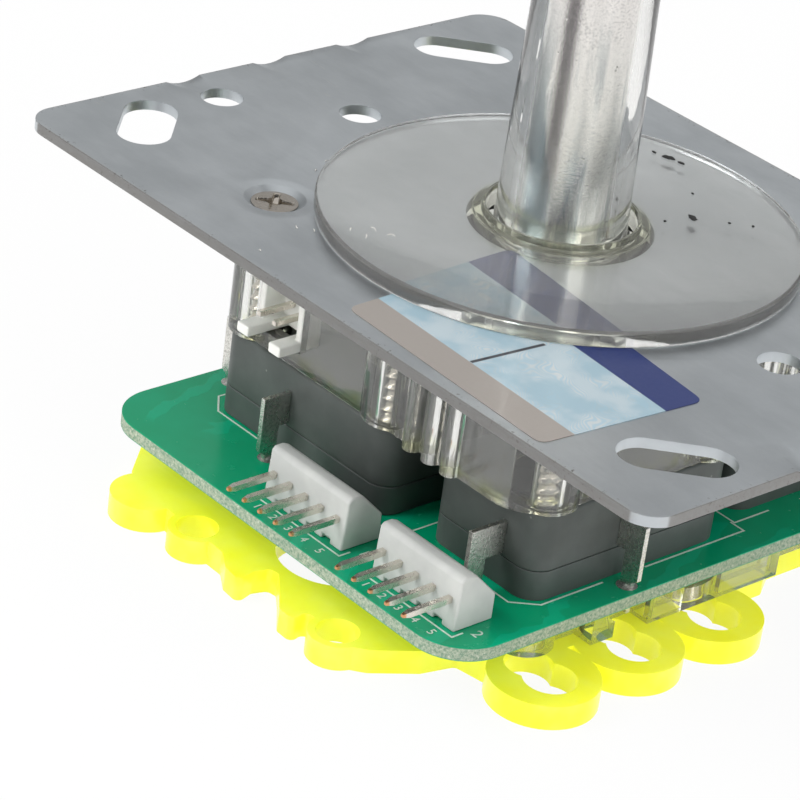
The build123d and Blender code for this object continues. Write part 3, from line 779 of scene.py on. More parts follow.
# CLEAR and DISC carry a painted yellow glint near the housing's foot and the disc's lip
CLEAR = ClearPlastic(caught_z=19.6)
TUBE = ClearPlastic(name="clear_tube", tint=(0.97, 0.97, 0.95), dull=0.015, flow=0.02, clarity=0.98)
DISC = ClearPlastic(name="clear_disc", tint=(0.98, 0.98, 0.965), flow=0.012, clarity=0.94, caught_r=9.6)
DIRT = plastic("dirt", grey(0.02), grey(0.05), 0.7, grain=0.02)
LINT = plastic("lint", (0.62, 0.61, 0.57), (0.78, 0.77, 0.73), 0.7, grain=0.02)
CASE = Moulded()
COVER = plastic("switch_cover_grey", (0.064, 0.074, 0.070), (0.088, 0.100, 0.095), 0.34)
BLACK = plastic("black_plastic", grey(0.012), grey(0.022), 0.32)
NYLON = plastic("white_nylon", (0.50, 0.51, 0.495), (0.60, 0.61, 0.585), 0.34, through=0.5)
# the light header's slightly creamy nylon, painted brighter than the other headers' to make up for the shade
# under the plate
NYLON_PAINTED_BRIGHT = plastic("cream_nylon", (0.80, 0.79, 0.75), (0.88, 0.87, 0.83), 0.36, through=0.3)
BALL = plastic("ball_plastic", (0.012, 0.012, 0.014), (0.018, 0.018, 0.02), 0.10, grain=0.001)
BOARD = SolderMask()
GATE = Fluorescent()
INK = Ink()
LABEL = LabelPrint()

AXIS_R = 0.001
THREAD_R = 1.45
THREAD_PITCH = 1.3
THREAD_TAPER = 2.0
THREAD_STEEPNESS = 3.4
CORE_SHARE = 0.74
CROSS_DEPTH = 1.1
SHARP_ANGLE = 32


def solid(
    name: str,
    grid: np.ndarray,
    wrap_u: bool = True,
    wrap_v: bool = False,
    ends: bool = True,
) -> Piece:
    """Make a mesh piece from a grid of points.

    Every cell of the grid becomes one quad. A direction that wraps joins its last
    row to its first, and open ends along v are closed with one flat face each.

    Args:
        name: The piece's name.
        grid: Points in millimetres, as rows along u by columns along v by 3.
        wrap_u: True if the rows close on themselves.
        wrap_v: True if the columns close on themselves.
        ends: True to close the first and last column.

    Returns:
        The new object, at the origin.
    """
    nu, nv = grid.shape[:2]
    index = np.arange(nu * nv).reshape(nu, nv)
    a = index if wrap_u else index[:-1]
    b = np.roll(index, -1, 0) if wrap_u else index[1:]
    if wrap_v:
        a, b = np.hstack([a, a[:, :1]]), np.hstack([b, b[:, :1]])
    quads = np.stack([a[:, :-1], b[:, :-1], b[:, 1:], a[:, 1:]], -1).reshape(-1, 4)
    faces = quads.tolist()
    if ends and not wrap_v:
        faces += [index[::-1, 0].tolist(), index[:, -1].tolist()]
    mesh = bpy.data.meshes.new(name)
    mesh.from_pydata((grid.reshape(-1, 3) * MM).tolist(), [], faces)
    return settled(mesh, name)


def settled(mesh: bpy.types.Mesh, name: str, sharp: float = 40.0) -> Piece:
    """Make a mesh into a piece: merge doubles, turn faces outwards and shade it smooth.

    Args:
        mesh: The mesh, changed in place.
        name: The piece's name.
        sharp: Angle in degrees past which an edge stays sharp.

    Returns:
        The new object, linked into the scene.
    """
    work = bmesh.new()
    work.from_mesh(mesh)
    bmesh.ops.remove_doubles(work, verts=work.verts, dist=2e-6)
    bmesh.ops.recalc_face_normals(work, faces=work.faces)
    work.to_mesh(mesh)
    work.free()
    mesh.polygons.foreach_set("use_smooth", np.ones(len(mesh.polygons), bool))
    mesh.set_sharp_from_angle(angle=radians(sharp))
    piece = bpy.data.objects.new(name, mesh)
    bpy.context.scene.collection.objects.link(piece)
    return piece


def turned(
    name: str,
    profile: Sequence[Point],
    centre: Point = (0.0, 0.0),
    steps: int = 128,
    closed: bool = True,
) -> Piece:
    """Turn a profile of radius and height about an upright axis.

    A point is the centre plus radius times (cos t, sin t), at its height, with t
    once round. The profile runs up the outside first.

    Args:
        name: The piece's name.
        profile: Radius and height pairs in millimetres.
        centre: Where the axis stands.
        steps: Points round the circle.
        closed: True if the profile is a loop, as for a ring.

    Returns:
        The new object.
    """
    line = np.array(profile, float)
    t = np.linspace(0, 2 * pi, steps, endpoint=False)[:, None]
    grid = np.stack(
        [
            centre[0] + line[None, :, 0] * np.cos(t),
            centre[1] + line[None, :, 0] * np.sin(t),
            np.broadcast_to(line[None, :, 1], (steps, len(line))),
        ],
        -1,
    )
    return solid(name, grid, wrap_v=closed)


def rounded(corners: Sequence[Sequence[float]], steps: int = 4) -> list[Point]:
    """Round a loop's corners.

    Each corner is x, y and the length cut from both its sides; between the two cuts
    runs the quadratic curve that has the corner as its control point.

    Args:
        corners: The loop's corners, each with its cut.
        steps: Pieces per rounded corner.

    Returns:
        The loop's points.
    """
    pts = np.array([c[:2] for c in corners], float)
    out: list[Point] = []
    for i, corner in enumerate(corners):
        here, before, after = pts[i], pts[i - 1], pts[(i + 1) % len(pts)]
        cut = corner[2]
        if cut <= 0:
            out.append(tuple(here))
            continue
        a = here + (before - here) / np.linalg.norm(before - here) * cut
        b = here + (after - here) / np.linalg.norm(after - here) * cut
        t = np.linspace(0, 1, steps + 1)[:, None]
        curve = (1 - t) ** 2 * a + 2 * (1 - t) * t * here + t**2 * b
        out += [tuple(p) for p in curve]
    return out


def carried(name: str, path: np.ndarray, section: np.ndarray, closed: bool = False) -> Piece:
    """Carry a section along a path of points.

    At each point of the path the section's first axis lies sideways, level and
    square to the path, and its second axis is square to both.

    Args:
        name: The piece's name.
        path: Points along the path in millimetres.
        section: The section's loop, as sideways and up pairs.
        closed: True if the path joins its own start.

    Returns:
        The new object.
    """
    ahead = np.roll(path, -1, 0) - np.roll(path, 1, 0)
    if not closed:
        ahead[0], ahead[-1] = path[1] - path[0], path[-1] - path[-2]
    ahead /= np.linalg.norm(ahead, axis=1)[:, None]
    side = np.cross(ahead, (0, 0, 1))
    side /= np.maximum(np.linalg.norm(side, axis=1)[:, None], 1e-9)
    up = np.cross(side, ahead)
    grid = path[None] + section[:, None, :1] * side[None] + section[:, None, 1:] * up[None]
    return solid(name, grid, wrap_u=True, wrap_v=closed)


def ring_section(radius: float, steps: int = 12) -> np.ndarray:
    """A round section: radius times (cos t, sin t)."""
    t = np.linspace(0, 2 * pi, steps, endpoint=False)
    return radius * np.stack([np.cos(t), np.sin(t)], -1)


def solid_line(name: str, path: np.ndarray, section: np.ndarray) -> Piece:
    """Carry a small level section along a polyline, mitred at its corners.

    At a corner the sideways direction is the half-way one, lengthened by one over
    the cosine of half the turn, so that the line keeps its width.

    Args:
        name: The piece's name.
        path: The polyline's points in millimetres.
        section: The section's loop, as sideways and up pairs.

    Returns:
        The new object.
    """
    leg = np.diff(path, axis=0)
    leg /= np.linalg.norm(leg, axis=1)[:, None]
    before, after = np.vstack([leg[:1], leg]), np.vstack([leg, leg[-1:]])
    half = before + after
    half /= np.linalg.norm(half, axis=1)[:, None]
    side = np.cross(half, (0, 0, 1)) / np.sum(half * after, axis=1)[:, None]
    grid = path[None] + section[:, None, :1] * side[None] + section[:, None, 1:] * np.array([0, 0, 1.0])
    return solid(name, grid)


def numeral(text: str, spot: Point, size: float, level: float) -> Piece:
    """A printed number that reads from the header side, made a mesh before it is placed.

    Args:
        text: The digits.
        spot: Its middle on the board.
        size: Its height.
        level: The height of its underside.

    Returns:
        The new mesh object.
    """
    curve = bpy.data.curves.new(f"numeral_{text}", "FONT")
    curve.body, curve.size, curve.extrude = text, size * MM, 0.012 * MM
    curve.align_x, curve.align_y = "CENTER", "CENTER"
    curve.resolution_u = 3
    holder = bpy.data.objects.new("numeral", curve)
    mesh = bpy.data.meshes.new_from_object(holder)
    bpy.data.objects.remove(holder)
    mesh.transform(Matrix.Translation((spot[0] * MM, spot[1] * MM, (level + 0.012) * MM)))
    return settled(mesh, f"numeral_{text}")


def joined(name: str, parts: Sequence[Piece]) -> Piece:
    """Join mesh pieces into one, and remove the pieces.

    Args:
        name: The joined piece's name.
        parts: The pieces to join.

    Returns:
        The joined piece.
    """
    work = bmesh.new()
    for part in parts:
        work.from_mesh(part.data)
        bpy.data.objects.remove(part)
    mesh = bpy.data.meshes.new(name)
    work.to_mesh(mesh)
    work.free()
    return settled(mesh, name)


def screw_shank(name: str, spot: Point, low: float, high: float) -> Piece:
    """A threaded shank with a tapered point.

    The radius at turn t and height z is the core plus the thread's depth times a
    ridge that peaks where z / pitch less t / one turn is half way between two
    whole numbers.

    Args:
        name: The piece's name.
        spot: Where its axis stands.
        low: Height of its point.
        high: Height under the head.

    Returns:
        The new object.
    """
    t = np.linspace(0, 2 * pi, 40, endpoint=False)[:, None]
    z = np.linspace(low, high, int((high - low) / THREAD_PITCH * 10) + 1)[None, :]
    phase = np.mod(z / THREAD_PITCH - t / (2 * pi), 1.0)
    ridge = np.clip(1 - np.abs(phase - 0.5) * THREAD_STEEPNESS, 0, 1)
    taper = np.clip((z - low) / THREAD_TAPER, 0.12, 1)
    r = THREAD_R * taper * (CORE_SHARE + (1 - CORE_SHARE) * ridge)
    grid = np.stack([spot[0] + r * np.cos(t), spot[1] + r * np.sin(t), np.broadcast_to(z, r.shape)], -1)
    return solid(name, grid)


def cross_recess(x: np.ndarray, y: np.ndarray, radius: float) -> np.ndarray:
    """How deep a cross recess is at places of a screw's head.

    Four arms get narrower and shallower outwards, by the distance along them over
    the radius. In the middle is a well whose edge has eight sides. Both have steep
    walls, a ramp of the distance to their edge.

    Args:
        x: Distance from the first arms' axis, never negative.
        y: Distance from the second arms' axis, never negative.
        radius: The head's radius.

    Returns:
        The depth at each place, as a share of the full depth.
    """
    narrow, far = np.minimum(x, y), np.maximum(x, y)
    arm_half, arm_reach, heart = radius * (0.17 - 0.08 * far / radius), radius * 0.78, radius * 0.36
    arm_wall, end_wall, heart_wall = 0.12, 0.25, 0.14
    arm = np.clip((arm_half + 0.08 - narrow) / arm_wall, 0, 1)
    arm = arm * np.clip((arm_reach + 0.1 - far) / end_wall, 0, 1)
    well = np.clip((heart - np.maximum(far, (x + y) * 0.74)) / heart_wall, 0, 1)
    return np.maximum(arm * (1.0 - 0.8 * far / radius), well)


def screw_head(
    name: str,
    spot: Point,
    foot: float,
    top: float,
    low_r: float,
    high_r: float,
    recess: Recess,
    dome: float,
    turn: float = 0.0,
) -> Piece:
    """A screw's head with its drive recess.

    The top is a polar grid. Its height is the dome, which falls with the square of
    the radius, less the recess.

    Args:
        name: The piece's name.
        spot: Where its axis stands.
        foot: Height of its underside.
        top: Height of its rim.
        low_r: Radius at the underside.
        high_r: Radius at the rim.
        recess: The kind of recess.
        dome: Height of the crown above the rim, or below it if negative.
        turn: Angle of the cross in degrees.

    Returns:
        The new object.
    """
    t = np.linspace(0, 2 * pi, 144, endpoint=False)[:, None]
    rim = np.array([[low_r, foot], [high_r * 0.99, top - 0.12], [high_r, top - 0.06], [high_r * 0.985, top]])
    span = np.linspace(0.97, 0.0, 56) * high_r
    r = np.concatenate([rim[:, 0], span])[None, :] + 0 * t
    crown = top + dome * (1 - (span / high_r) ** 2)
    z = np.concatenate([rim[:, 1], crown])[None, :] + 0 * t
    if recess is Recess.CROSS:
        x, y = np.abs(r * np.cos(t - radians(turn))), np.abs(r * np.sin(t - radians(turn)))
        depth = cross_recess(x, y, high_r)
        depth[:, : len(rim)] = 0
        z = z - CROSS_DEPTH * depth
    grid = np.stack([spot[0] + r * np.cos(t), spot[1] + r * np.sin(t), z], -1)
    return solid(name, grid)


def carved(node: str, edge: float = 0.15, steps: int = 2) -> Piece:
    """Copy a CAD node's mesh, join its triangles into whole faces and round its edges.

    Args:
        node: The CAD node's name.
        edge: Radius of the rounded edges in millimetres, or 0 for none.
        steps: Segments across a rounded edge.

    Returns:
        The new object, which stands for the node.
    """
    mesh = frame["nodes"][node].data.copy()
    mesh.materials.clear()
    work = bmesh.new()
    work.from_mesh(mesh)
    bmesh.ops.remove_doubles(work, verts=work.verts, dist=2e-6)
    bmesh.ops.dissolve_limit(work, angle_limit=radians(0.5), verts=work.verts, edges=work.edges)
    work.to_mesh(mesh)
    work.free()
    if mesh.has_custom_normals:
        mesh.normals_split_custom_set(np.zeros((len(mesh.loops), 3)).tolist())
    piece = settled(mesh, f"{node}_made", SHARP_ANGLE)
    if edge > 0:
        bevel = piece.modifiers.new("edges", "BEVEL")
        bevel.width, bevel.segments = edge * MM, steps
        bevel.limit_method, bevel.angle_limit = "ANGLE", radians(SHARP_ANGLE)
        bevel.harden_normals = True
        bevel.use_clamp_overlap = True
    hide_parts(node)
    return piece


def dress(piece: Piece, finish: Finish, body: str, slot: str, *stands_for: str) -> Piece:
    """Give a piece its finish, the body it rides on and its nodes.

    Args:
        piece: The piece.
        finish: Its finish.
        body: The CAD body it moves with.
        slot: The record's material slot; not used.
        stands_for: CAD nodes that it replaces.

    Returns:
        The same piece.
    """
    piece.data.materials.clear()
    piece.data.materials.append(finish.material)
    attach(piece, body)
    if stands_for:
        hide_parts(*stands_for)
    return piece


def rest_of(node: str) -> tuple[np.ndarray, np.ndarray]:
    """A CAD node's lowest and highest corner in millimetres."""
    low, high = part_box(node)
    return np.array(low) / MM, np.array(high) / MM


@dataclass
class PlateGroup:
    """Steel mounting plate, its four screws, the label and the clear dust disc."""

    top: float = 35.0
    screw_spot: Point = (22.6, -20.1)
    head_r: float = 2.55
    head_t: float = 0.75
    head_dome: float = 0.06
    sink: float = 0.42
    shank_low: float = 3.8
    cross_turns: Sequence[float] = (12.0, 66.0, 31.0, 43.0)
    disc_r: float = 26.2
    disc_t: float = 1.8
    bore_r: float = 8.15
    lip_r: float = 9.5
    step_h: float = 0.14
    lip_h: float = 2.65
    float_h: float = 0.12
    label_low: float = 0.01
    label_high: float = 0.07
    crumb_h: float = 0.1
    crumb_shape: Point = (1.3, 0.9)
    crumbs: Sequence[Sequence[float]] = (
        (-5.4, 21.4, 0.55),
        (-3.7, 21.7, 0.3),
        (-7.2, 20.9, 0.22),
        (7.0, 12.8, 0.5),
        (11.6, 17.4, 0.16),
        (6.2, 9.4, 0.14),
        (9.8, 15.6, 0.14),
        (2.6, 17.2, 0.12),
    )
    lint_r: float = 0.05
    lint_lift: float = 0.10
    lint_arcs: Sequence[Sequence[float]] = (
        (-6.4, -22.9, 36.8, 0.9, 20.0),
        (-7.3, -22.3, 36.8, 0.7, 190.0),
        (-6.9, -21.6, 36.8, 1.2, 60.0),
        (-4.3, -20.3, 36.8, 0.8, 100.0),
        (-23.9, -14.4, 35.0, 0.5, 0.0),
        (-24.4, -11.7, 35.0, 0.35, 140.0),
        (-12.5, -24.5, 35.0, 0.8, 40.0),
        (-13.4, -24.6, 35.0, 0.5, 210.0),
        (-11.0, -32.4, 35.0, 0.5, 80.0),
    )
    label_loop: Sequence[Sequence[float]] = (
        (3.1, -32.0, 1.2),
        (33.2, -33.4, 1.2),
        (34.8, -13.0, 1.2),
        (2.3, -9.2, 1.2),
    )

    def plate(self) -> Piece:
        """The plate with rolled edges."""
        return dress(carved("mounting_plate", 0.16, 2), PLATE, "base", "plate")

    def screws(self) -> Iterator[Piece]:
        """Four countersunk heads with crosses on threaded shanks.

        Returns:
            Heads and shanks one by one.
        """
        for number, side in enumerate(Side):
            spot = tuple(side.turn(np.array(self.screw_spot)))
            top = self.top - self.sink
            head = screw_head(
                f"plate_screw_head_{number}",
                spot,
                foot=top - self.head_t,
                top=top,
                low_r=THREAD_R,
                high_r=self.head_r,
                recess=Recess.CROSS,
                dome=self.head_dome,
                turn=self.cross_turns[number],
            )
            yield dress(head, SCREW, "base", "screw_steel", "plate_screws")
            name = f"plate_screw_shank_{number}"
            shank = screw_shank(name, spot, self.shank_low, top - self.head_t + 0.05)
            yield dress(shank, SCREW, "base", "screw_steel", "plate_screws")

    def disc(self) -> Piece:
        """The dust disc: a turned loop with a rounded rim and a stepped lip.

        Returns:
            The disc.
        """
        foot, face, lip = self.top + self.float_h, self.top + self.disc_t, self.top + self.lip_h
        step = face + self.step_h
        loop = rounded(
            [
                (self.disc_r, foot, 0.15),
                (self.disc_r, face, 0.4),
                (self.lip_r, face, 0.1),
                (self.lip_r - 0.1, step, 0.1),
                (self.bore_r + 0.4, step, 0.08),
                (self.bore_r + 0.36, lip, 0.08),
                (self.bore_r, lip, 0.08),
                (self.bore_r, foot, 0.15),
            ],
            5,
        )
        return dress(turned("dust_disc", loop, steps=192), DISC, "base", "clear_plastic", "dust_washer")

    def label(self) -> Piece:
        """A thin sheet that lies on the plate and partly under the disc.

        Returns:
            The label.
        """
        loop = np.array(rounded(self.label_loop, 5))
        low = np.column_stack([loop, np.full(len(loop), self.top + self.label_low)])
        high = np.column_stack([loop, np.full(len(loop), self.top + self.label_high)])
        return dress(solid("plain_label", np.stack([low, high], 1)), LABEL, "base", "plate")

    def dirt(self) -> Piece:
        """Small crumbs on the disc: flattened balls whose radius swells with angle.

        Returns:
            The crumbs as one piece.
        """
        t = np.linspace(0, 2 * pi, 20, endpoint=False)[:, None]
        u = np.linspace(-1, 1, 9)[None, :]
        z = self.top + self.disc_t + self.crumb_h * (1 + u) + 0 * t
        wide, deep = self.crumb_shape
        crumbs = []
        for i, (x, y, size) in enumerate(self.crumbs):
            ragged = 1 + 0.25 * np.sin(2 * t + i) + 0.15 * np.sin(5 * t + 2 * i)
            swell = size * ragged * np.sqrt(1 - 0.98 * u**2)
            grid = np.stack([x + swell * np.cos(t) * wide, y + swell * np.sin(t) * deep, z], -1)
            crumbs.append(solid(f"crumb_{i}", grid))
        return dress(joined("dirt_crumbs", crumbs), DIRT, "base", "plate")

    def lint(self) -> Piece:
        """Pale curled threads on plate and disc: short arcs of a thin round section, whose middle
        stands up by the squared sine along them.

        Returns:
            The threads as one piece.
        """
        share = np.linspace(0, 1, 14)
        threads = []
        for i, (x, y, level, reach, start) in enumerate(self.lint_arcs):
            t = radians(start) + share * (0.9 + 0.4 * np.sin(3.0 * i))
            z = level + self.lint_r + self.lint_lift * np.sin(share * pi) ** 2
            path = np.column_stack([x + reach * np.cos(t), y + reach * np.sin(t), z])
            threads.append(carried(f"thread_{i}", path, ring_section(self.lint_r, 6)))
        return dress(joined("lint_threads", threads), LINT, "base", "plate")

    def build(self) -> Iterator[Piece]:
        """Make the group's pieces in order.

        Returns:
            The pieces one by one.
        """
        yield self.plate()
        yield from self.screws()
        yield self.label()
        yield self.disc()
        yield self.dirt()
        yield self.lint()


@dataclass
class Lever:
    """Shaft, clear cover, ball top and the mechanism inside the housing."""

    foot: float = 0.7
    groove: Point = (1.6, 2.4)
    groove_r: float = 2.5
    neck_r: float = 3.0
    collar_low: float = 32.5
    collar_high: float = 33.3
    collar_r: float = 6.4
    shaft_r: float = 4.75
    shaft_top: float = 77.5
    stud_top: float = 94.9
    cover_r: float = 7.15
    cover_top_r: float = 6.2
    cover_top: float = 76.0
    cover_bore_r: float = 4.95
    ball_r: float = 17.5
    ball_z: float = 95.0
    ball_cut: float = 77.5
    ball_foot_r: float = 4.2
    seam_depth: float = 0.0012
    seam_width: float = 0.012
    spring_r: float = 6.0
    spring_room: float = 0.65
    spring_turns: float = 5.0
    wire_r: float = 0.5

    def shaft(self) -> Piece:
        """The turned shaft, its collar, neck and top stud.

        Returns:
            The shaft.
        """
        profile = rounded(
            [
                (AXIS_R, self.foot, 0),
                (self.neck_r - 0.4, self.foot, 0),
                (self.neck_r, self.foot + 0.4, 0.1),
                (self.neck_r, self.groove[0], 0),
                (self.groove_r, self.groove[0], 0),
                (self.groove_r, self.groove[1], 0),
                (self.neck_r, self.groove[1], 0),
                (self.neck_r, self.collar_low, 0.1),
                (self.collar_r, self.collar_low, 0.15),
                (self.collar_r, self.collar_high, 0.15),
                (self.shaft_r, self.collar_high, 0.1),
                (self.shaft_r, self.shaft_top, 0.2),
                (self.neck_r, self.shaft_top, 0.1),
                (self.neck_r, self.stud_top, 0.2),
                (AXIS_R, self.stud_top, 0),
            ],
            3,
        )
        return dress(turned("shaft_made", profile, closed=False), SHAFT, "lever", "shaft_steel", "shaft")

    def cover(self) -> Piece:
        """The clear cover tube, a little tapered, with a rounded mouth.

        Returns:
            The cover.
        """
        loop = rounded(
            [
                (self.cover_r, self.collar_high + 0.02, 0.2),
                (self.cover_r, 37.0, 0.6),
                (self.cover_top_r, self.cover_top, 0.5),
                (self.cover_bore_r, self.cover_top, 0.2),
                (self.cover_bore_r, self.collar_high + 0.02, 0.2),
            ],
            4,
        )
        tube = turned("shaft_cover_made", loop, steps=160)
        return dress(tube, TUBE, "lever", "clear_plastic", "shaft_cover")

    def ball(self) -> Piece:
        """The ball top: a circle arc from its flat neck to the pole, with a fine parting line.

        Returns:
            The ball.
        """
        t = np.linspace(-np.arccos(0.14), pi / 2, 120)
        t[0] = -np.arcsin((self.ball_z - self.ball_cut - 0.3) / self.ball_r)
        seam = 1 - self.seam_depth * np.exp(-((t / self.seam_width) ** 2))
        line = np.column_stack([self.ball_r * seam * np.cos(t), self.ball_z + self.ball_r * np.sin(t)])
        line[-1, 0] = AXIS_R
        profile = [
            (AXIS_R, self.ball_z - 0.05),
            (self.neck_r, self.ball_z),
            (self.neck_r, self.ball_cut + 0.1),
            (self.ball_foot_r, self.ball_cut + 0.05),
            *map(tuple, line[line[:, 1] > self.ball_cut + 0.3]),
        ]
        ball = turned("ball_top_made", profile, steps=160, closed=False)
        return dress(ball, BALL, "lever", "ball_plastic", "ball_top")

    def spring(self) -> Piece:
        """The return spring: a helix whose height is the share t of its length less a tenth of
        the sine of one turn of t, so that it rises slowly at both ends.

        Returns:
            The spring.
        """
        low, high = rest_of("return_spring")
        t = np.linspace(0, 1, 420)
        turn = 2 * pi * self.spring_turns * t
        height = high[2] - low[2] - 2 * self.wire_r - self.spring_room
        z = low[2] + self.wire_r + height * (t - 0.10 * np.sin(2 * pi * t))
        path = np.column_stack([self.spring_r * np.cos(turn), self.spring_r * np.sin(turn), z])
        coil = carried("return_spring_made", path, ring_section(self.wire_r))
        return dress(coil, SPRING, BODY_OF["return_spring"], "shaft_steel", "return_spring")

    def build(self) -> Iterator[Piece]:
        """Make the group's pieces in order.

        Returns:
            The pieces one by one.
        """
        yield self.shaft()
        yield self.cover()
        yield self.ball()
        yield self.spring()
        for node, finish, slot, edge in (
            ("pivot_rocker", BLACK, "black_plastic", 0.0),
            ("pivot_seat", BLACK, "black_plastic", 0.15),
            ("actuator", BLACK, "black_plastic", 0.2),
            ("cross_pin", SCREW, "shaft_steel", 0.15),
            ("retaining_clip", SPRING, "shaft_steel", 0.08),
        ):
            yield dress(carved(node, edge), finish, BODY_OF[node], slot)


@dataclass
class Housing:
    """Clear moulded housing and lower frame, with the frame's screws."""

    inner_spot: Point = (22.6, 2.1)
    pan_r: float = 2.7
    pan_face: float = 2.95
    pan_seat: float = 4.6
    pan_dome: float = -0.1
    shank: Point = (4.5, 28.6)

    def build(self) -> Iterator[Piece]:
        """Make the group's pieces in order.

        Returns:
            The pieces one by one.
        """
        yield dress(carved("clear_housing", 0.3, 3), CLEAR, "base", "clear_plastic")
        yield dress(carved("lower_frame", 0.2, 2), CLEAR, "base", "clear_plastic")
        for number, side in enumerate(Side):
            spot = tuple(side.turn(np.array(self.inner_spot)))
            head = screw_head(
                f"frame_screw_head_{number}",
                spot,
                foot=self.pan_seat,
                top=self.pan_face,
                low_r=self.pan_r * 0.8,
                high_r=self.pan_r,
                recess=Recess.NONE,
                dome=self.pan_dome,
            )
            yield dress(head, SCREW, "base", "screw_steel", "frame_screws")
            shank = screw_shank(f"frame_screw_shank_{number}", spot, *self.shank)
            yield dress(shank, SCREW, "base", "screw_steel", "frame_screws")


@dataclass
class Switches:
    """Four microswitches in a pinwheel, each with case, cover, plunger and tabs."""

    def build(self) -> Iterator[Piece]:
        """Make the group's pieces in order.

        Returns:
            The pieces one by one.
        """
        for side in Side:
            yield dress(carved(f"switch_{side.word}_case", 0.22, 3), CASE, "base", "switch_grey")
            yield dress(carved(f"switch_{side.word}_cover", 0.16, 2), COVER, "base", "switch_grey")
            plunger = f"switch_{side.word}_plunger"
            yield dress(carved(plunger, 0.2, 2), BLACK, BODY_OF[plunger], "black_plastic")
            yield dress(carved(f"switch_{side.word}_tabs", 0.08, 2), TINNED, "base", "tinned")


@dataclass
class Boards:
    """Main board, its headers and pins, and the lamp header under the deck."""

    pins_x: Sequence[float] = (1.5, 19.0)
    pitch: float = 2.54
    pin_z: float = 12.6
    pin_half: float = 0.32
    pin_tip_half: float = 0.16
    pin_tip: float = 0.9
    front: float = -33.1
    tip: float = -39.3
    top: float = 9.3
    foot: float = 7.7
    corner_line: Sequence[Point] = ((18.5, -24.2), (23.8, -24.2), (25.9, -21.6), (25.9, -12.9))
    side_line: Sequence[Point] = ((25.9, -6.8), (25.9, 8.0), (23.9, 8.0))
    root_line: Sequence[Point] = ((13.6, -24.2), (8.3, -24.2), (8.3, -19.0))
    print_half: Point = (0.1, 0.015)
    print_lift: float = 0.02
    small_print: float = 1.5
    large_print: float = 1.9
    pin_root: float = 3.5
    com_leg: Point = (20.5, -26.1)
    no_leg: Point = (27.5, -11.0)
    header_leg_y: float = -27.5
    bell: Point = (0.35, 1.15)
    dome: Point = (0.95, 0.95)

    def pins(self, number: int, middle: float) -> Piece:
        """Five square pins: four corners times a half width that shrinks at the tip.

        Args:
            number: The header's number.
            middle: Where its middle pin stands along X.

        Returns:
            The pins as one piece.
        """
        y = np.array([self.front + self.pin_root, self.tip + self.pin_tip, self.tip + 0.05])
        half = np.array([self.pin_half, self.pin_half, self.pin_tip_half])
        corner = np.array([(-1, -1), (1, -1), (1, 1), (-1, 1)], float)
        across, up = corner[:, None, 0] * half[None], corner[:, None, 1] * half[None]
        parts = []
        for i, x in enumerate(self.row(middle)):
            grid = np.stack([x + across, np.broadcast_to(y, (4, 3)), self.pin_z + up], -1)
            parts.append(solid(f"header_{number}_pin_{i}", grid))
        return joined(f"header_{number}_pins_made", parts)

    def row(self, middle: float) -> list[float]:
        """The five places of a header's pins along X."""
        return [middle + step * self.pitch for step in range(-2, 3)]

    def print_line(self, name: str, points: Union[np.ndarray, Sequence[Point]]) -> Piece:
        """A printed line along the points.

        Args:
            name: The piece's name.
            points: The line's points on the board.

        Returns:
            The line.
        """
        w, h = self.print_half
        path = np.column_stack([points, np.full(len(points), self.top + self.print_lift)])
        return solid_line(name, path, np.array([(-w, -h), (w, -h), (w, h), (-w, h)]))

    def silkscreen(self) -> Piece:
        """Switch outlines on four sides, header outlines and pin numbers.

        Returns:
            The print as one piece.
        """
        level = self.top + self.print_lift
        parts = []
        for side in Side:
            for i, line in enumerate((self.corner_line, self.side_line, self.root_line)):
                parts.append(self.print_line(f"print_{side.word}_{i}", side.turn(np.array(line, float))))
        half, y = self.pitch * 2.5 + 0.5, self.front - 0.6
        for number, middle in enumerate(self.pins_x, start=1):
            left, right = middle - half, middle + half
            outline = [(left, y + 1.5), (left, y), (right, y), (right, y + 1.5)]
            parts.append(self.print_line(f"print_header_{number}", outline))
            for pin, x in enumerate(self.row(middle), start=1):
                parts.append(numeral(str(pin), (x, y - 1.15), self.small_print, level))
            parts.append(numeral(str(number), (right + 0.9, y + 2.6), self.large_print, level))
        return dress(joined("board_print", parts), INK, "base", "green_board")

    def solder(self) -> Piece:
        """Solder joints: a low bell round every tab leg on top, and domes under legs and header
        pins. A joint's radius falls from full by three quarters of its height's share to the
        power 0.6.

        Returns:
            The joints as one piece.
        """
        rows = []
        for side in Side:
            for leg in (self.com_leg, self.no_leg):
                rows += [(*side.turn(np.array(leg, float)), way) for way in (1, -1)]
        for middle in self.pins_x:
            rows += [(x, self.header_leg_y, -1) for x in self.row(middle)]
        share = np.linspace(0, 1, 8)
        bells = []
        for i, (x, y, way) in enumerate(rows):
            face = self.top if way > 0 else self.foot
            height, wide = self.bell if way > 0 else self.dome
            side_line = np.column_stack([wide * (1 - 0.75 * share**0.6), face + way * height * share])
            line = [(AXIS_R, face), *map(tuple, side_line), (AXIS_R, face + way * height)]
            bells.append(turned(f"bell_{i}", line, (x, y), 24, closed=False))
        return dress(joined("solder_joints", bells), TINNED, "base", "tinned")

    def build(self) -> Iterator[Piece]:
        """Make the group's pieces in order.

        Returns:
            The pieces one by one.
        """
        yield dress(carved("main_board", 0.06, 1), BOARD, "base", "green_board")
        yield self.silkscreen()
        yield self.solder()
        for number, middle in enumerate(self.pins_x, start=1):
            yield dress(carved(f"header_{number}_block", 0.25, 3), NYLON, "base", "white_nylon")
            yield dress(self.pins(number, middle), PIN, "base", "tinned", f"header_{number}_pins")
        yield dress(carved("light_board", 0.05, 1), BOARD, "base", "green_board")
        # the light header gets the nylon painted brighter for the shade it sits in
        yield dress(carved("light_header", 0.2, 2), NYLON_PAINTED_BRIGHT, "base", "white_nylon")
        yield dress(carved("light_header_pins", 0.1, 2), PIN, "base", "tinned")


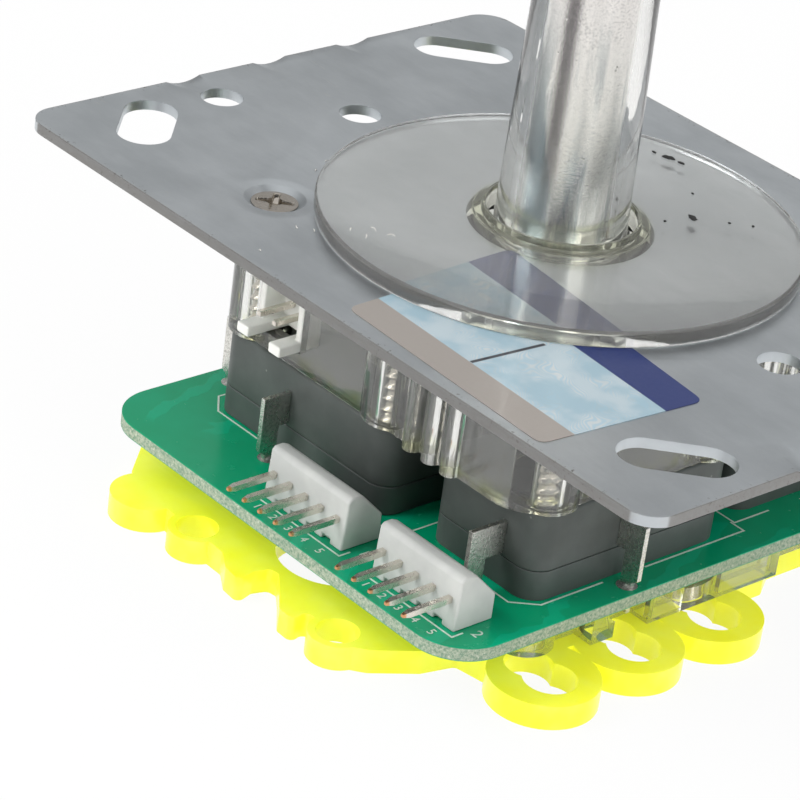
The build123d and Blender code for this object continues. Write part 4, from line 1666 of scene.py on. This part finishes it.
@dataclass
class Gate:
    """Yellow restrictor gate under the frame."""

    def build(self) -> Iterator[Piece]:
        """The gate's one piece."""
        yield dress(carved("restrictor_gate", 0.35, 3), GATE, "base", "yellow_plastic")


@dataclass
class Studio:
    """Camera at the photograph's place, pale floor, soft sky and lamps."""

    eye: Triple = (231.1233, -247.1289, 194.0728)
    right: Triple = (0.6477203, 0.7521206, 0.1215445)
    down: Triple = (0.4312567, -0.2304279, -0.8723077)
    ahead: Triple = (-0.6280733, 0.6174282, -0.4736099)
    lens: float = 158.4713
    floor_half: float = 1500.0
    floor_level: float = -0.05
    white: Colour = (1.0, 1.0, 1.0)
    away: Point = (0.68, 0.73)
    sky_low: float = 0.44
    sky_gain: float = 0.38
    back_dip: float = 0.14
    front_dip: float = 0.40
    front_strip: float = 1.25
    side_gain: float = 0.55
    through_high: float = 0.38
    middle: Sequence[float] = (0, 0, 20)

    def camera(self) -> Piece:
        """A camera whose axes are the fitted right, up and back directions.

        Returns:
            The camera, made the scene's own.
        """
        data = bpy.data.cameras.new("photo_camera")
        data.lens, data.sensor_width = self.lens, 36.0
        data.clip_start, data.clip_end = 0.01, 20.0
        eye = bpy.data.objects.new("photo_camera", data)
        axes = np.eye(4)
        axes[:3, :3] = np.column_stack([self.right, -np.array(self.down), -np.array(self.ahead)])
        axes[:3, 3] = np.array(self.eye) * MM
        eye.matrix_world = Matrix(axes.tolist())
        bpy.context.scene.collection.objects.link(eye)
        bpy.context.scene.camera = eye
        return eye

    def floor(self) -> Piece:
        """A wide floor just under the gate.

        Returns:
            The floor, which isn't part of the object.
        """
        t = np.linspace(-self.floor_half, self.floor_half, 9)
        x, y = np.meshgrid(t, t, indexing="ij")
        grid = np.stack([x, y, np.full_like(x, self.floor_level)], -1)
        floor = solid("floor", grid, wrap_u=False, ends=False)
        floor.data.materials.append(StageWhite().material)
        return floor

    def sky(self) -> None:
        """A soft sky, plain white where the camera looks. Its level rises with height; bands of
        the direction's share across the view are darker or brighter, and rays that pass through
        clear plastic see the white near the horizon and a share of it above.
        """
        world = bpy.data.worlds.new("studio")
        bpy.context.scene.world = world
        world.use_nodes = True
        r = Recipe(world.node_tree, "Generated")
        x, y, z = (r.axis(i) * MM for i in range(3))
        back = y * self.away[1] - x * self.away[0]
        side = abs(x * self.away[1] + y * self.away[0])
        low = z.rise(0.78, 0.60)
        front = back.rise(0.0, -0.1) * low
        level = self.sky_low + z.rise(0.42, 0.92) * self.sky_gain
        level = level - side.between(0.32, 0.84, 0.05) * back.rise(0.0, 0.1) * low * self.back_dip
        level = level - front * self.front_dip + side.between(0.46, 0.62, 0.03) * front * self.front_strip
        level = level + side.rise(0.84, 0.92) * low * self.side_gain
        path = r.node("ShaderNodeLightPath")
        through = Wire(r, path.outputs["Is Transmission Ray"]) * z.rise(0.14, 0.04).most(self.through_high)
        seen = Wire(r, path.outputs["Is Camera Ray"]).most(through)
        light = r.node("ShaderNodeBackground", {}, {0: self.white, 1: level})
        white = r.node("ShaderNodeBackground", {}, {0: self.white, 1: 1.0})
        both = r.node("ShaderNodeMixShader", {}, {0: seen, 1: light.outputs[0], 2: white.outputs[0]})
        r.node("ShaderNodeOutputWorld", {}, {0: both.outputs[0]})

    def lamp(self, name: str, spot: Triple, size: float, power: float) -> Piece:
        """One square area lamp that looks at the object's middle and shows in no gloss.

        Args:
            name: The lamp's name.
            spot: Where it stands, in millimetres.
            size: Its side in millimetres.
            power: Its power in watts.

        Returns:
            The lamp.
        """
        data = bpy.data.lights.new(name, "AREA")
        data.energy, data.size, data.shape = power, size * MM, "SQUARE"
        lamp = bpy.data.objects.new(name, data)
        lamp.visible_glossy = False
        back = np.array(spot, float) - self.middle
        back /= np.linalg.norm(back)
        side = np.cross((0, 0, 1), back)
        side /= np.linalg.norm(side)
        axes = np.eye(4)
        axes[:3, :3] = np.column_stack([side, np.cross(back, side), back])
        axes[:3, 3] = np.array(spot) * MM
        lamp.matrix_world = Matrix(axes.tolist())
        bpy.context.scene.collection.objects.link(lamp)
        return lamp

    def build(self) -> None:
        """Camera, floor, sky and lamps."""
        self.camera()
        self.floor()
        self.sky()
        self.lamp("key", (-350, -520, 620), 420, 3.8)
        self.lamp("fill", (600, 120, 420), 500, 1.6)
        self.lamp("low", (-60, -640, 90), 380, 1.6)
        self.lamp("edge", (620, -160, 60), 300, 0.8)
        bpy.context.scene.view_settings.view_transform = "Standard"


def main() -> None:
    """Build every group in order and report each piece."""
    logging.basicConfig(level=logging.INFO, format="%(name)s: %(message)s")
    Studio().build()
    for group in (PlateGroup(), Lever(), Housing(), Switches(), Boards(), Gate()):
        for piece in group.build():
            LOG.info("%s / %s: %d faces", type(group).__name__, piece.name, len(piece.data.polygons))


if __name__ == "__main__":
    main()
